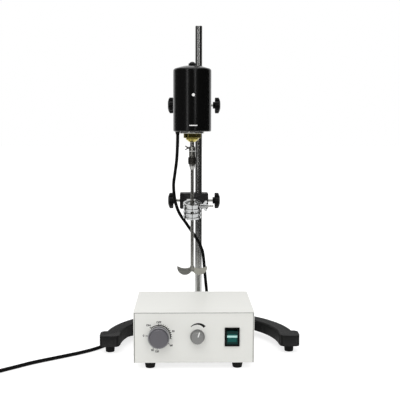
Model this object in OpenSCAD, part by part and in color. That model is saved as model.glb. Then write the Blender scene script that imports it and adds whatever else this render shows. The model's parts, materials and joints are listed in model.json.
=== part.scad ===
// Overhead stirrer for the laboratory bench.
// A motor hangs on a horseshoe stand and turns a paddle shaft, a flask clamp
// steadies the shaft, and a separate control box feeds the motor.
// Millimetres. Z up, table at z = 0, X to the right, Y away from the viewer.
// The stand is symmetric about X = 0 and the pole stands on that line.

/* [Base] */
// Radius of the horseshoe, to the middle of its arm
arc_r = 161; // [150:1:200]
// Width of the horseshoe arm
arm_w = 30; // [24:1:36]
// Height of the horseshoe arm and its pads
arm_h = 20; // [16:1:24]
// Distance of the pole inside the middle line of the arc
hub_inset = 12.5; // [8:0.5:16]
// Diameter of the hub round the pole
hub_d = 56; // [48:1:64]
// Height of the hub
hub_h = 34; // [28:1:44]
// Side of the square pad at each arm end
pad_w = 36; // [32:1:42]
// How far each pad sits outside the arm
pad_step = 4; // [2:0.5:6]
// How far the pads stand behind the arc's centre line
pad_back = 6; // [0:1:10]
// Height of the rubber feet of the stand
foot_h = 13; // [8:0.5:18]
// Diameter of a rubber foot at the top
foot_d = 18; // [14:0.5:22]
// Diameter of the thread at the pole's lower end
rod_thread_d = 12; // [10:0.5:12.5]

/* [Pole] */
// Diameter of the pole
rod_d = 14; // [13:0.5:16]
// Height of the pole's top above the table
rod_top = 609; // [580:1:700]

/* [Boss heads] */
// Height of the middle of the upper boss head
upper_z = 454.6; // [450:0.1:460]
// Height of the middle of the lower boss head
lower_z = 265.5; // [262:0.1:270]
// Height of a boss head
boss_h = 31; // [26:0.5:36]
// Depth of a boss head, front to back
boss_d = 30; // [26:0.5:36]
// Reach of a boss head to the left of the pole
boss_left = 37.3; // [34:0.1:42]
// Reach of a boss head to the right of the pole
boss_right = 19.2; // [16:0.1:24]
// Distance of the arm bore to the left of the pole
arm_x = 13.5; // [13.2:0.1:15]
// Diameter of the arm rods
arm_d = 10; // [9:0.5:11]
// Diameter of the clamping screws
screw_d = 6; // [5:0.5:7]
// Length of each clamping screw between its head and its knob
screw_show = 9; // [7:0.5:14]
// Diameter of the star knobs
star_d = 32; // [28:1:36]
// Thickness of the star knobs with their hubs
star_t = 14.5; // [12:0.5:18]
// Number of lobes of a star knob
star_lobes = 7; // [5:1:9]

/* [Motor] */
// Distance of the motor's axis in front of the pole
motor_out = 85; // [78:1:92]
// Diameter of the motor shell
shell_d = 71; // [66:1:74]
// Height of the shell's underside
shell_z = 403.2; // [400:0.1:404]
// Height of the rim where the dome begins
rim_z = 520; // [505:0.5:540]
// Rise of the domed top
dome_h = 5.5; // [3:0.5:8]
// Radius of the shell's lower and upper edges
edge_r = 5; // [2:0.5:6]
// Wall of the shell
shell_wall = 2.5; // [2:0.1:3]
// Diameter of the cap nut on the dome
cap_d = 14; // [12:0.5:16]
// Height of the cap nut above the dome
cap_h = 6.8; // [5:0.1:9]
// Width of the shell's rim round the pale end plate
rim_w = 13; // [12:0.5:15]
// How far the end plate stands out below the shell
plate_drop = 3.6; // [3:0.1:5]
// Width of the brass bearing nut across its flats
nut_af = 28; // [25:0.5:30]
// Height of the brass nut
nut_h = 8.4; // [7:0.1:9]
// Diameter of the brass flange under the nut
taper_d = 24; // [20:0.5:26]
// Height of the brass flange and its taper
taper_h = 7.5; // [6:0.1:9]
// Diameter of the motor shaft
shaft_d = 8; // [7:0.5:9]
// Length of motor shaft that shows above the coupling
shaft_show = 8.4; // [6:0.1:12]
// Radial thickness of the field magnets
magnet_t = 7; // [5:0.5:9]
// Air gap round the rotor
air_gap = 1; // [0.6:0.1:2]

/* [Chuck and stirring shaft] */
// Diameter of the coupling's lower part
coupling_d = 12.5; // [12:0.1:14]
// Height of the coupling
coupling_h = 18.8; // [16:0.1:22]
// Diameter of the turning chuck sleeve
sleeve_d = 15; // [14.5:0.1:17]
// Height of the chuck sleeve
sleeve_h = 14.1; // [12:0.1:16]
// Height of the pale collet cone
cone_h = 9.4; // [8:0.1:11]
// Diameter of the stirring shaft
stir_d = 6.3; // [6:0.1:7]
// Height of the stirring shaft's lower end
stir_z = 140; // [134:1:170]
// Width across the paddle
paddle_w = 55; // [46:1:64]
// Thickness of the paddle blades
paddle_t = 2; // [1.5:0.1:3]
// Pitch of the paddle blades
paddle_pitch = 12; // [5:1:20]

/* [Flask clamp] */
// Inner radius of the closed jaws
jaw_r = 13; // [12:0.1:14]
// Radial thickness of a jaw
jaw_t = 4; // [3.6:0.1:4.6]
// Height of the jaws from the top of the upper prong to the lower one's foot
jaw_h = 29; // [27:0.5:33]
// Height of one prong
prong_h = 12; // [11:0.5:12.5]
// Depth of the channel along the outside of each prong
channel_t = 1.6; // [1:0.1:2.2]
// Downward tilt of the clamp towards the front
jaw_tilt = 14; // [10:1:18]
// Distance of the jaw pivots behind the shaft
pivot_back = 32; // [30:0.5:36]
// Height of the clamp rod above the middle of the pivots
rod_rise = 2.2; // [1:0.1:3]
// Diameter of the jaw pins
pin_d = 5; // [4:0.5:6]

/* [Control box] */
// Distance of the pole behind the box's front panel
box_setback = 250; // [235:1:300]
// Distance of the box's middle to the left of the pole
box_x = 12; // [0:1:30]
// Width of the box
box_w = 205; // [195:1:215]
// Depth of the box
box_d = 158.5; // [140:0.5:165]
// Height of the box without its feet
box_h = 88; // [84:0.5:110]
// Height of the box feet
box_foot = 12; // [8:0.5:16]
// Thickness of the sheet steel
sheet = 1.2; // [0.8:0.1:1.6]
// How far the cover stands proud of the panels
lip = 1; // [0.5:0.1:2]

/* [Controls] */
// Distance of the timer knob from the box's left side
timer_in = 43; // [38:0.5:48]
// Distance of the speed knob to the right of the box's middle
speed_right = 6; // [0:0.5:10]
// Distance of the switch from the box's right side
switch_in = 37.6; // [30:0.1:42]
// Height of the knobs above the underside of the box
knob_up = 45.5; // [40:0.5:50]
// Height of the switch above the underside of the box
switch_up = 44.8; // [40:0.1:50]
// Diameter of the timer knob's skirt
timer_d = 36; // [30:0.5:40]
// How far the timer knob stands out
timer_out = 17; // [14:0.5:22]
// Diameter of the speed knob
speed_d = 25; // [20:0.5:28]
// How far the speed knob stands out
speed_out = 14; // [11:0.5:18]
// Width of the switch bezel
bezel_w = 25.3; // [23:0.1:28]
// Height of the switch bezel
bezel_h = 32.2; // [30:0.1:34]
// Width of the bezel's frame round the rocker
bezel_rim = 2.8; // [2.4:0.1:3.6]

/* [Cords] */
// Diameter of the motor lead
lead_d = 6; // [5:0.5:7]
// Diameter of the mains cord
mains_d = 6.5; // [6:0.5:7]

/* [Hidden] */
$fn = 48;

// Clearances: run turns or slides, seat only fills, gap keeps neighbours apart.
run = 0.05;
seat = 0.02;
gap = 0.3;
bite = 0.5;
through = 40;

// Places that the pieces share
arm_tail = 42;
pole_y = (box_setback + timer_out - arm_tail) / 2;
box_front = pole_y - box_setback;
box_rear = box_front + box_d;
arc_y = pole_y - arc_r + hub_inset;
shaft_x = -arm_x;
shaft_y = pole_y - motor_out;

// Stations on the motor's axis, in the order in which the pieces build on each other
bearing_d = 22;
bearing_h = 7;
seat_wall = 3;
seat_rise = 4;
flange_t = 3;
plate_z = shell_z - plate_drop;
taper_top = plate_z - nut_h;
taper_z = taper_top - taper_h;
coupling_top = taper_z - shaft_show;
coupling_z = coupling_top - coupling_h;
sleeve_top = coupling_z - bite - gap;
sleeve_z = sleeve_top - sleeve_h;
cone_z = sleeve_z - cone_h;
plate_d = shell_d - 2 * rim_w;
lower_seat = shell_z + shell_wall + flange_t + seat_rise - bearing_h;
bearing_z = rim_z - shell_wall - bearing_h - 2;
rotor_up = 32;
head_h = 8;
commutator_d = 22;
commutator_h = 18;
rotor_z = shell_z + rotor_up;
rotor_d = shell_d - 2 * (shell_wall + magnet_t + air_gap);
rotor_h = bearing_z - commutator_h - head_h - 1.3 - rotor_z;
brush_z = rotor_z + rotor_h + head_h + commutator_h / 2;

// Stations on the control box, from its middle
timer_left = box_w / 2 - timer_in;
switch_right = box_w / 2 - switch_in;

// Jaw frame: its origin is on the shaft, its pivots just below the clamp rod
jaw_z = lower_z - rod_rise - pivot_back * sin(jaw_tilt);
pin_x = 5.2;
ear_r = 4.9;
ear_h = 10;
jaw_screw_y = pivot_back - 10;

// A slab with rounded upright edges
module slab(size, r) {
    translate([-size.x / 2 + r, -size.y / 2, 0]) cube([size.x - 2 * r, size.y, size.z]);
    translate([-size.x / 2, -size.y / 2 + r, 0]) cube([size.x, size.y - 2 * r, size.z]);
    for (x = [-1, 1], y = [-1, 1])
        translate([x * (size.x / 2 - r), y * (size.y / 2 - r), 0]) cylinder(h = size.z, r = r);
}

// A tube, given by its two diameters and its height
module tube(d, bore, h) {
    difference() {
        cylinder(h = h, d = d);
        translate([0, 0, -1]) cylinder(h = h + 2, d = bore);
    }
}

// Lies a piece that was made along Z along X, or along -Y towards the viewer
module along_x() { rotate([0, 90, 0]) children(); }
module to_front() { rotate([90, 0, 0]) children(); }

// Cast horseshoe with its hub and the two pads
module stand_base() {
    color([0.07, 0.07, 0.07]) difference() {
        union() {
            translate([0, arc_y, foot_h]) rotate_extrude(angle = 180, $fn = 96) arm_section();
            for (side = [-1, 1])
                translate([side * (arc_r + pad_step), arc_y + pad_back, foot_h])
                    slab([pad_w, pad_w, arm_h], pad_w / 4);
            translate([0, pole_y, foot_h]) cylinder(h = hub_h - hub_bevel, d = hub_d);
            translate([0, pole_y, foot_h + hub_h - hub_bevel])
                cylinder(h = hub_bevel, d1 = hub_d, d2 = hub_d - 2 * hub_bevel);
        }
        translate([0, pole_y, 0]) cylinder(h = rod_top, d = rod_thread_d + 2 * run);
        translate([0, pole_y, shoulder_z]) cylinder(h = rod_top, d = rod_d + 2 * run);
        translate([0, pole_y, 0]) cylinder(h = foot_h + nut_pocket, d = pocket_d);
    }
}
hub_bevel = 3;
nut_pocket = 10;
pocket_d = 26;
pocket_roof = 4;
shoulder_z = foot_h + nut_pocket + pocket_roof;

// Section of the horseshoe arm, with its upper edges rounded
module arm_section() {
    r = arm_h / 4;
    translate([arc_r - arm_w / 2, 0]) square([arm_w, arm_h - r]);
    translate([arc_r - arm_w / 2 + r, 0]) square([arm_w - 2 * r, arm_h]);
    for (side = [-1, 1]) translate([arc_r + side * (arm_w / 2 - r), arm_h - r]) circle(r = r, $fn = 32);
}

// Two rubber feet under the pads and a rubber ring under the hub
module base_feet() {
    color([0.1, 0.1, 0.1]) {
        for (side = [-1, 1])
            translate([side * (arc_r + pad_step), arc_y + pad_back, 0])
                cylinder(h = foot_h, d1 = foot_d - 2, d2 = foot_d);
        translate([0, pole_y, 0]) tube(hub_d - 8, pocket_d + 4, foot_h);
    }
}

// Nut that draws the pole down on its shoulder
module rod_nut() {
    color("dimgray") translate([0, pole_y, shoulder_z - pocket_roof - rod_nut_h]) difference() {
        cylinder(h = rod_nut_h, d = rod_nut_af / cos(30), $fn = 6);
        translate([0, 0, -1]) cylinder(h = rod_nut_h + 2, d = rod_thread_d + 2 * run);
    }
}
rod_nut_h = 8;
rod_nut_af = 19;

// Chromed pole, turned down at its foot
module stand_rod() {
    color([0.75, 0.76, 0.78]) translate([0, pole_y, 0]) {
        translate([0, 0, foot_h + 1]) cylinder(h = shoulder_z - foot_h, d = rod_thread_d);
        translate([0, 0, shoulder_z]) cylinder(h = rod_top - shoulder_z - 1, d = rod_d);
        translate([0, 0, rod_top - 1]) cylinder(h = 1, d1 = rod_d, d2 = rod_d - 2);
    }
}

// Boss head: a block with an upright bore for the pole and a level one for the arm
module boss(z) {
    w = boss_left + boss_right;
    translate([(boss_right - boss_left) / 2, pole_y, z - boss_h / 2]) intersection() {
        slab([w, boss_d, boss_h], boss_edge);
        translate([0, boss_d / 2, boss_h / 2]) to_front() slab([w, boss_h, boss_d], boss_edge);
    }
}
boss_edge = 3;

module bored_boss(z) {
    difference() {
        boss(z);
        translate([0, pole_y, 0]) cylinder(h = rod_top + 1, d = rod_d + 2 * run);
        translate([shaft_x, pole_y + boss_d, z]) to_front() cylinder(h = 2 * boss_d, d = arm_d + 2 * run);
        translate([0, pole_y, z]) along_x() cylinder(h = boss_right + 1, d = screw_d + 2 * run);
        translate([-boss_left - 1, pole_y, z]) along_x()
            cylinder(h = boss_left + shaft_x + 1, d = screw_d + 2 * run);
    }
}
module upper_boss() { color([0.08, 0.08, 0.08]) bored_boss(upper_z); }
module lower_boss() { color([0.08, 0.08, 0.08]) bored_boss(lower_z); }

// Clamping screws: the right one meets the pole, the left one the arm rod
module rod_screw(z) {
    tip = rod_d / 2 + gap / 3;
    color("silver") translate([tip, pole_y, z]) along_x()
        cylinder(h = boss_right + screw_show + star_bite - tip, d = screw_d);
}
module arm_screw(z) {
    tip = arm_x + arm_d / 2 + gap / 3;
    color("silver") translate([-boss_left - screw_show - star_bite, pole_y, z]) along_x()
        cylinder(h = boss_left + screw_show + star_bite - tip, d = screw_d);
}
star_bite = 8;
module upper_rod_screw() { rod_screw(upper_z); }
module upper_arm_screw() { arm_screw(upper_z); }
module lower_rod_screw() { rod_screw(lower_z); }
module lower_arm_screw() { arm_screw(lower_z); }

// Star knob, made along Z with its hub at z = 0 and its dome outward
module star_knob() {
    r = star_d / 2;
    lobe = r * 0.26;
    hub = r * 0.42;
    root = r * 0.72;
    difference() {
        intersection() {
            linear_extrude(star_t) union() {
                circle(r = root, $fn = 64);
                for (i = [0:star_lobes - 1]) rotate(i * 360 / star_lobes) {
                    translate([r - lobe, 0]) circle(r = lobe, $fn = 32);
                    translate([0, -lobe]) square([r - lobe, 2 * lobe]);
                }
            }
            rotate_extrude($fn = 64) polygon([
                [0, 0], [hub, 0], [hub, star_t * 0.25], [r * 0.92, star_t * 0.28], [r, star_t * 0.34],
                [r, star_t * 0.74], [r * 0.85, star_t * 0.83], [root, star_t * 0.91], [hub, star_t],
                [0, star_t]
            ]);
        }
        translate([0, 0, -1]) cylinder(h = star_bite + 1 + seat, d = screw_d + 2 * seat);
    }
}
module right_knob(z) {
    color([0.06, 0.06, 0.06]) translate([boss_right + screw_show, pole_y, z]) along_x() star_knob();
}
module left_knob(z) {
    color([0.06, 0.06, 0.06]) translate([-boss_left - screw_show, pole_y, z]) mirror([1, 0, 0])
        along_x() star_knob();
}
module upper_rod_knob() { right_knob(upper_z); }
module upper_arm_knob() { left_knob(upper_z); }
module lower_rod_knob() { right_knob(lower_z); }
module lower_arm_knob() { left_knob(lower_z); }

// Places a piece on the motor's axis
module on_shaft(z) { translate([shaft_x, shaft_y, z]) children(); }

// Arm rod of the motor, with the saddle that carries the shell
saddle_d = 24;
saddle_t = 4;
module motor_arm() {
    back = shell_d / 2 + saddle_t;
    color("silver") difference() {
        on_shaft(upper_z) {
            rotate([-90, 0, 0]) cylinder(h = motor_out + arm_tail, d = arm_d);
            rotate([-90, 0, 0]) cylinder(h = back, d = saddle_d);
        }
        on_shaft(shell_z - 1) cylinder(h = rim_z - shell_z + 2, d = shell_d, $fn = 96);
    }
}

// Outline of the shell, half of it, with rounded edges and the dome
module shell_outline() {
    r = shell_d / 2;
    flat = r - edge_r;
    dome_r = (flat * flat + dome_h * dome_h) / (2 * dome_h);
    translate([0, shell_z]) square([flat, rim_z - shell_z]);
    translate([0, shell_z + edge_r / 2]) square([r, rim_z - shell_z - edge_r * 1.5]);
    translate([r - edge_r / 2, shell_z + edge_r / 2]) circle(r = edge_r / 2);
    translate([0, shell_z]) square([r - edge_r / 2, edge_r]);
    translate([r - edge_r, rim_z - edge_r]) circle(r = edge_r);
    intersection() {
        translate([0, rim_z + dome_h - dome_r]) circle(r = dome_r, $fn = 360);
        translate([0, rim_z - 1]) square([flat, dome_h + 2]);
    }
}

// Deep drawn motor shell, open below for the end plate, with the upper bearing seat
module motor_shell() {
    r = shell_d / 2 - shell_wall;
    color([0.05, 0.05, 0.05]) translate([shaft_x, shaft_y, 0]) {
        rotate_extrude($fn = 96) intersection() {
            difference() {
                shell_outline();
                translate([-1, shell_z + shell_wall]) square([r + 1, rim_z - shell_z - 2 * shell_wall]);
                translate([-1, shell_z - 1]) square([plate_d / 2 + seat + 1, shell_wall + 2]);
            }
            translate([0, shell_z]) square([shell_d, rim_z]);
        }
        translate([0, 0, bearing_z])
            tube(bearing_d + 2 * seat_wall, bearing_d + 2 * seat, rim_z - bearing_z - 1);
    }
}

// Domed cap nut on top of the shell
module motor_cap_nut() {
    r = cap_d / 2;
    color([0.05, 0.05, 0.05]) on_shaft(rim_z + dome_h) {
        cylinder(h = cap_h * 0.5, d = cap_d, $fn = 6);
        intersection() {
            translate([0, 0, cap_h - r]) sphere(r = r);
            cylinder(h = cap_h, r = r * 0.86);
        }
    }
}

// Pale end plate that closes the shell and holds the lower bearing
module motor_end_plate() {
    top = plate_drop + shell_wall;
    color([0.8, 0.8, 0.78]) on_shaft(plate_z) difference() {
        union() {
            cylinder(h = top, d = plate_d);
            translate([0, 0, top]) cylinder(h = flange_t, d = shell_d - 2 * (shell_wall + gap));
            cylinder(h = top + flange_t + seat_rise, d = bearing_d + 2 * seat_wall);
        }
        translate([0, 0, -1]) cylinder(h = through, d = shaft_d + 2);
        translate([0, 0, lower_seat - plate_z]) cylinder(h = through, d = bearing_d + 2 * seat);
    }
}

// Brass nut with its flange and taper
module bearing_nut() {
    color([0.62, 0.55, 0.2]) on_shaft(0) difference() {
        union() {
            translate([0, 0, taper_top]) cylinder(h = nut_h, d = nut_af / cos(30), $fn = 6);
            rotate_extrude() polygon([
                [0, taper_top], [taper_d / 2, taper_top], [taper_d / 2, taper_top - taper_h * 0.35],
                [shaft_d * 0.7, taper_z], [0, taper_z]
            ]);
        }
        translate([0, 0, taper_z - 1]) cylinder(h = through, d = shaft_d + 1);
    }
}

// Field magnets on the shell's wall
module motor_magnets() {
    r = shell_d / 2 - shell_wall - seat;
    color("dimgray") on_shaft(rotor_z) for (a = [20, 200]) rotate(a)
        rotate_extrude(angle = 140, $fn = 96) translate([r - magnet_t, 0]) square([magnet_t, rotor_h]);
}

// The two ball bearings of the rotor
module motor_bearings() {
    color("silver") for (z = [lower_seat, bearing_z])
        on_shaft(z) tube(bearing_d, shaft_d + 2 * run, bearing_h);
}

// Brush ring with its two brushes, on the commutator
brush_ring = [8, 4];
brush = [8, 6];
module brush_gear() {
    r = shell_d / 2 - shell_wall - seat;
    color([0.35, 0.22, 0.12]) on_shaft(brush_z) {
        tube(2 * r, 2 * (r - brush_ring.x), brush_ring.y);
        for (a = [0, 180]) rotate(a) translate([commutator_d / 2 + run, -brush.x / 2, -brush.y])
            cube([r - commutator_d / 2 - brush_ring.x / 4, brush.x, brush.y]);
    }
}

// Gland of the motor lead, under the shell
gland_h = 5;
gland_t = 2;
gland_d = lead_d + 3;
lead_x = plate_d / 2 + gap + gland_d / 2;
module motor_gland() {
    color([0.06, 0.06, 0.06]) translate([shaft_x - lead_x, shaft_y, shell_z - gland_h]) {
        cylinder(h = gland_h - gland_t, d = (lead_d + gland_d) / 2);
        translate([0, 0, gland_h - gland_t]) cylinder(h = gland_t, d = gland_d);
    }
}

// Motor shaft, from the coupling to the upper bearing
shaft_bite = 11;
module motor_shaft() {
    color("silver") on_shaft(coupling_top - shaft_bite)
        cylinder(h = bearing_z + bearing_h - coupling_top + shaft_bite, d = shaft_d);
}

// Slotted iron of the rotor
rotor_slots = 12;
slot = [3, 6];
module rotor_core() {
    color("gray") on_shaft(rotor_z) difference() {
        cylinder(h = rotor_h, d = rotor_d);
        translate([0, 0, -1]) cylinder(h = rotor_h + 2, d = shaft_d + 2 * seat);
        for (i = [0:rotor_slots - 1]) rotate(i * 360 / rotor_slots)
            translate([rotor_d / 2 - slot.y, -slot.x / 2, -1]) cube([slot.y + 1, slot.x, rotor_h + 2]);
    }
}

// Winding heads on both sides of the iron, with the commutator above
module rotor_winding() {
    color([0.72, 0.38, 0.2]) on_shaft(0) {
        for (z = [rotor_z - head_h, rotor_z + rotor_h]) translate([0, 0, z])
            tube(rotor_d - slot.y, shaft_d + 2 * seat, head_h);
        translate([0, 0, rotor_z + rotor_h + head_h]) tube(commutator_d, shaft_d + 2 * seat, commutator_h);
    }
}

// Coupling on the motor shaft: conical collar, pale ring and straight part
collar_h = 7.7;
ring_h = 2;
module shaft_coupling() {
    r = coupling_d / 2;
    color([0.5, 0.5, 0.5]) on_shaft(0) difference() {
        rotate_extrude() polygon([
            [0, coupling_z], [r, coupling_z], [r, coupling_top - collar_h - ring_h],
            [r + 0.4, coupling_top - collar_h - ring_h], [r + 0.4, coupling_top - collar_h],
            [r - 0.9, coupling_top], [0, coupling_top]
        ]);
        translate([0, 0, coupling_top - shaft_bite - gap]) cylinder(h = through, d = shaft_d + 2 * seat);
        translate([0, 0, coupling_z - 1]) cylinder(h = spigot_h + gap + 1, d = spigot_d + 2 * seat);
        translate([-coupling_d, 0, wing_z]) along_x() cylinder(h = coupling_d, d = wing_d + 2 * run);
    }
}
spigot_h = 6;
spigot_d = 9;
wing_d = 3;
wing_z = coupling_top - 2.7;

// Wing screw that holds the coupling on the shaft
module wing_screw() {
    far = coupling_d / 2 + 1;
    color([0.35, 0.35, 0.35]) on_shaft(wing_z) mirror([1, 0, 0]) {
        translate([shaft_d / 2 + gap / 3, 0, 0]) along_x() cylinder(h = far + 2 - shaft_d / 2, d = wing_d);
        for (side = [-1, 1]) translate([far + 1, 0, 0]) rotate([0, -side * 38, 0])
            translate([0, -0.8, -1]) cube([6, 1.6, 2]);
        translate([far, 0, 0]) along_x() cylinder(h = 2.5, d = wing_d + 1.4);
    }
}

// Chuck body: spigot, flange and the core on which the sleeve turns
core_d = 11.4;
module chuck_body() {
    color([0.5, 0.5, 0.5]) on_shaft(0) difference() {
        rotate_extrude() polygon([
            [0, sleeve_z], [core_d / 2, sleeve_z], [core_d / 2, sleeve_top + gap],
            [coupling_d / 2, sleeve_top + gap],
            [coupling_d / 2, coupling_z - seat], [spigot_d / 2, coupling_z - seat],
            [spigot_d / 2, coupling_z + spigot_h], [0, coupling_z + spigot_h]
        ]);
        translate([0, 0, sleeve_z - 1]) cylinder(h = sleeve_h + spigot_h, d = stir_d + 2 * run);
    }
}

// Collet cone of three jaws that grip the stirring shaft
slit = 0.7;
module chuck_jaws() {
    color([0.78, 0.77, 0.74]) on_shaft(0) difference() {
        rotate_extrude() polygon([
            [0, cone_z], [stir_d / 2 + 0.6, cone_z], [core_d / 2, cone_z + cone_h * 0.7],
            [core_d / 2, sleeve_z], [0, sleeve_z]
        ]);
        translate([0, 0, cone_z - 1]) cylinder(h = cone_h + 2, d = stir_d + 2 * run);
        for (i = [0:2]) rotate(30 + i * 120) translate([0, -slit / 2, cone_z - 1])
            cube([sleeve_d, slit, cone_h + 0.5]);
    }
}

// Knurled sleeve that closes the collet
module chuck_sleeve() {
    color([0.2, 0.2, 0.2]) on_shaft(sleeve_z) difference() {
        union() {
            translate([0, 0, 1]) cylinder(h = sleeve_h - 2, d = sleeve_d);
            cylinder(h = 1, d1 = sleeve_d - 1.6, d2 = sleeve_d);
            translate([0, 0, sleeve_h - 1]) cylinder(h = 1, d1 = sleeve_d, d2 = sleeve_d - 1.6);
        }
        translate([0, 0, -1]) cylinder(h = sleeve_h + 2, d = core_d + 2 * run);
    }
}

// Stirring shaft, held in the collet
module stirring_rod() {
    color([0.5, 0.5, 0.48]) on_shaft(stir_z) cylinder(h = sleeve_z + 8 - stir_z, d = stir_d);
}

// Paddle: two crescent blades welded to the foot of the shaft
blade_drop = 9;
module crescent(side) {
    r = paddle_w / 4 + 1;
    translate([side * (paddle_w / 4), 0]) difference() {
        translate([0, r - blade_drop]) circle(r = r, $fn = 64);
        translate([0, r * 2.2 - blade_drop * 0.3]) circle(r = r * 1.75, $fn = 64);
        translate([-2 * r, r - blade_drop + 2]) square([4 * r, 3 * r]);
    }
}
module paddle() {
    color([0.42, 0.41, 0.38]) on_shaft(stir_z) difference() {
        union() {
            for (side = [-1, 1]) rotate([side * paddle_pitch, 0, 0])
                translate([0, paddle_t / 2, 0]) to_front() linear_extrude(paddle_t) crescent(side);
            translate([0, 0, -2]) cylinder(h = 10, d = stir_d + 1.6);
        }
        cylinder(h = 20, d = stir_d + 2 * seat);
    }
}

// Rod of the flask clamp, level, from the yoke through the lower boss head
module clamp_rod() {
    color("silver") difference() {
        translate([shaft_x, shaft_y + pivot_back * cos(jaw_tilt), lower_z]) rotate([-90, 0, 0])
            cylinder(h = motor_out + arm_tail - pivot_back * cos(jaw_tilt), d = arm_d);
        in_jaw_frame() translate([-jaw_h, -jaw_h, -jaw_h])
            cube([2 * jaw_h, jaw_h + pivot_back + yoke_back, 2 * jaw_h]);
    }
}

// The jaw frame: origin on the shaft, tilted down towards the front
module in_jaw_frame() { translate([shaft_x, shaft_y, jaw_z]) rotate([jaw_tilt, 0, 0]) children(); }

// Forked yoke with a plate above and below the jaw ears
yoke_t = 2.2;
yoke_back = 9;
module clamp_yoke() {
    color([0.7, 0.7, 0.7]) in_jaw_frame() difference() {
        union() {
            for (z = [-ear_h / 2 - gap - yoke_t, ear_h / 2 + gap]) translate([0, pivot_back, z])
                linear_extrude(yoke_t) union() {
                    for (x = [-pin_x, pin_x]) translate([x, 0]) circle(r = ear_r);
                    translate([-pin_x - ear_r, 0]) square([2 * (pin_x + ear_r), yoke_back]);
                    translate([-pin_x, -ear_r]) square([2 * pin_x, ear_r]);
                }
            translate([-pin_x - ear_r, pivot_back + ear_r + gap, -ear_h / 2 - gap - yoke_t])
                cube([2 * (pin_x + ear_r), yoke_back - ear_r - gap, ear_h + 2 * (gap + yoke_t)]);
        }
        for (x = [-pin_x, pin_x]) translate([x, pivot_back, -ear_h])
            cylinder(h = 2 * ear_h, d = pin_d + 2 * seat);
    }
}

// Pins on which the jaws turn
module jaw_pins() {
    h = ear_h + 2 * (gap + yoke_t);
    color("silver") in_jaw_frame() for (x = [-pin_x, pin_x]) translate([x, pivot_back, -h / 2]) {
        cylinder(h = h, d = pin_d);
        translate([0, 0, h]) cylinder(h = 1, d = pin_d + 2);
        translate([0, 0, -1]) cylinder(h = 1, d = pin_d + 2);
    }
}

// Section of one prong, a channel open to the outside
module prong_section() {
    rail = (prong_h - prong_h * 0.4) / 2;
    translate([jaw_r, 0]) square([jaw_t - channel_t, prong_h]);
    for (z = [0, prong_h - rail]) translate([jaw_r, z]) square([jaw_t, rail]);
}

// The left jaw: two channel prongs bent round the shaft, a web, an arm and the pivot ear
strap_t = 3;
tip_gap = 2;
strap_x = pin_x + 0.8;
web_turn = 98;
module jaw() {
    ear_front = pivot_back - ear_r - gap;
    difference() {
        union() {
            for (z = [-jaw_h / 2, jaw_h / 2 - prong_h]) translate([0, 0, z]) rotate(web_turn)
                rotate_extrude(angle = 270 - web_turn - tip_gap, $fn = 96) prong_section();
            translate([0, 0, -jaw_h / 2]) rotate(web_turn) rotate_extrude(angle = 30, $fn = 96)
                translate([jaw_r, 0]) square([jaw_t, jaw_h]);
            translate([-strap_x - strap_t / 2, 0, 0]) rotate([90, 0, 90]) linear_extrude(strap_t) polygon([
                [jaw_r + 0.6, -jaw_h * 0.36], [ear_front, -ear_h / 2], [pivot_back, -ear_h / 2],
                [pivot_back, ear_h / 2], [ear_front, ear_h / 2], [jaw_r + 0.6, jaw_h * 0.36]
            ]);
            translate([-pin_x, pivot_back, -ear_h / 2]) cylinder(h = ear_h, r = ear_r);
        }
        translate([-pin_x, pivot_back, -ear_h]) cylinder(h = 2 * ear_h, d = pin_d + 2 * run);
        translate([-strap_x - strap_t, jaw_screw_y, 0]) along_x()
            cylinder(h = 2 * strap_t, d = strap_hole);
    }
}
jaw_screw_d = 4;
strap_hole = jaw_screw_d + 4;
module left_jaw() { color([0.82, 0.83, 0.82]) in_jaw_frame() jaw(); }
module right_jaw() { color([0.82, 0.83, 0.82]) in_jaw_frame() mirror([1, 0, 0]) jaw(); }

// Adjusting screw through both jaws, with its head on the left
screw_out = 41;
screw_head = [9, 2.5];
module jaw_screw() {
    head = strap_x + strap_t / 2 + gap + screw_head.y;
    color("silver") in_jaw_frame() translate([-head, jaw_screw_y, 0]) along_x() {
        cylinder(h = screw_out + head, d = jaw_screw_d);
        cylinder(h = screw_head.y, d = screw_head.x);
    }
}

// Wing nut with its long hub, that lets the right jaw open as it backs off
wing_at = 20;
wing_hub = [8.6, 10];
module wing_nut() {
    start = strap_x + strap_t / 2 + gap;
    color([0.75, 0.75, 0.74]) in_jaw_frame() translate([0, jaw_screw_y, 0]) difference() {
        union() {
            translate([start, 0, 0]) along_x()
                cylinder(h = wing_at + wing_hub.y - start, d1 = wing_hub.x, d2 = wing_hub.x - 1.4);
            for (turn = [0, 180]) translate([wing_at, 0, 0]) rotate([turn, 0, 0]) wing();
        }
        along_x() cylinder(h = 2 * screw_out, d = jaw_screw_d + 2 * run);
    }
}
module wing() {
    rotate([90, 0, 0]) translate([0, 0, -1]) linear_extrude(2) hull() {
        translate([2, 3]) circle(r = 2, $fn = 32);
        translate([6.5, 8]) circle(r = 2.6, $fn = 32);
    }
}

// Places a piece in the box: X from its middle, Y from the front panel, Z from its underside
module in_box() { translate([-box_x, box_front, box_foot]) children(); }

// A hole through a panel that faces the viewer
module panel_hole(x, z, d) {
    translate([x, 0, z]) to_front() cylinder(h = 10 * sheet, d = d, center = true);
}

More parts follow.
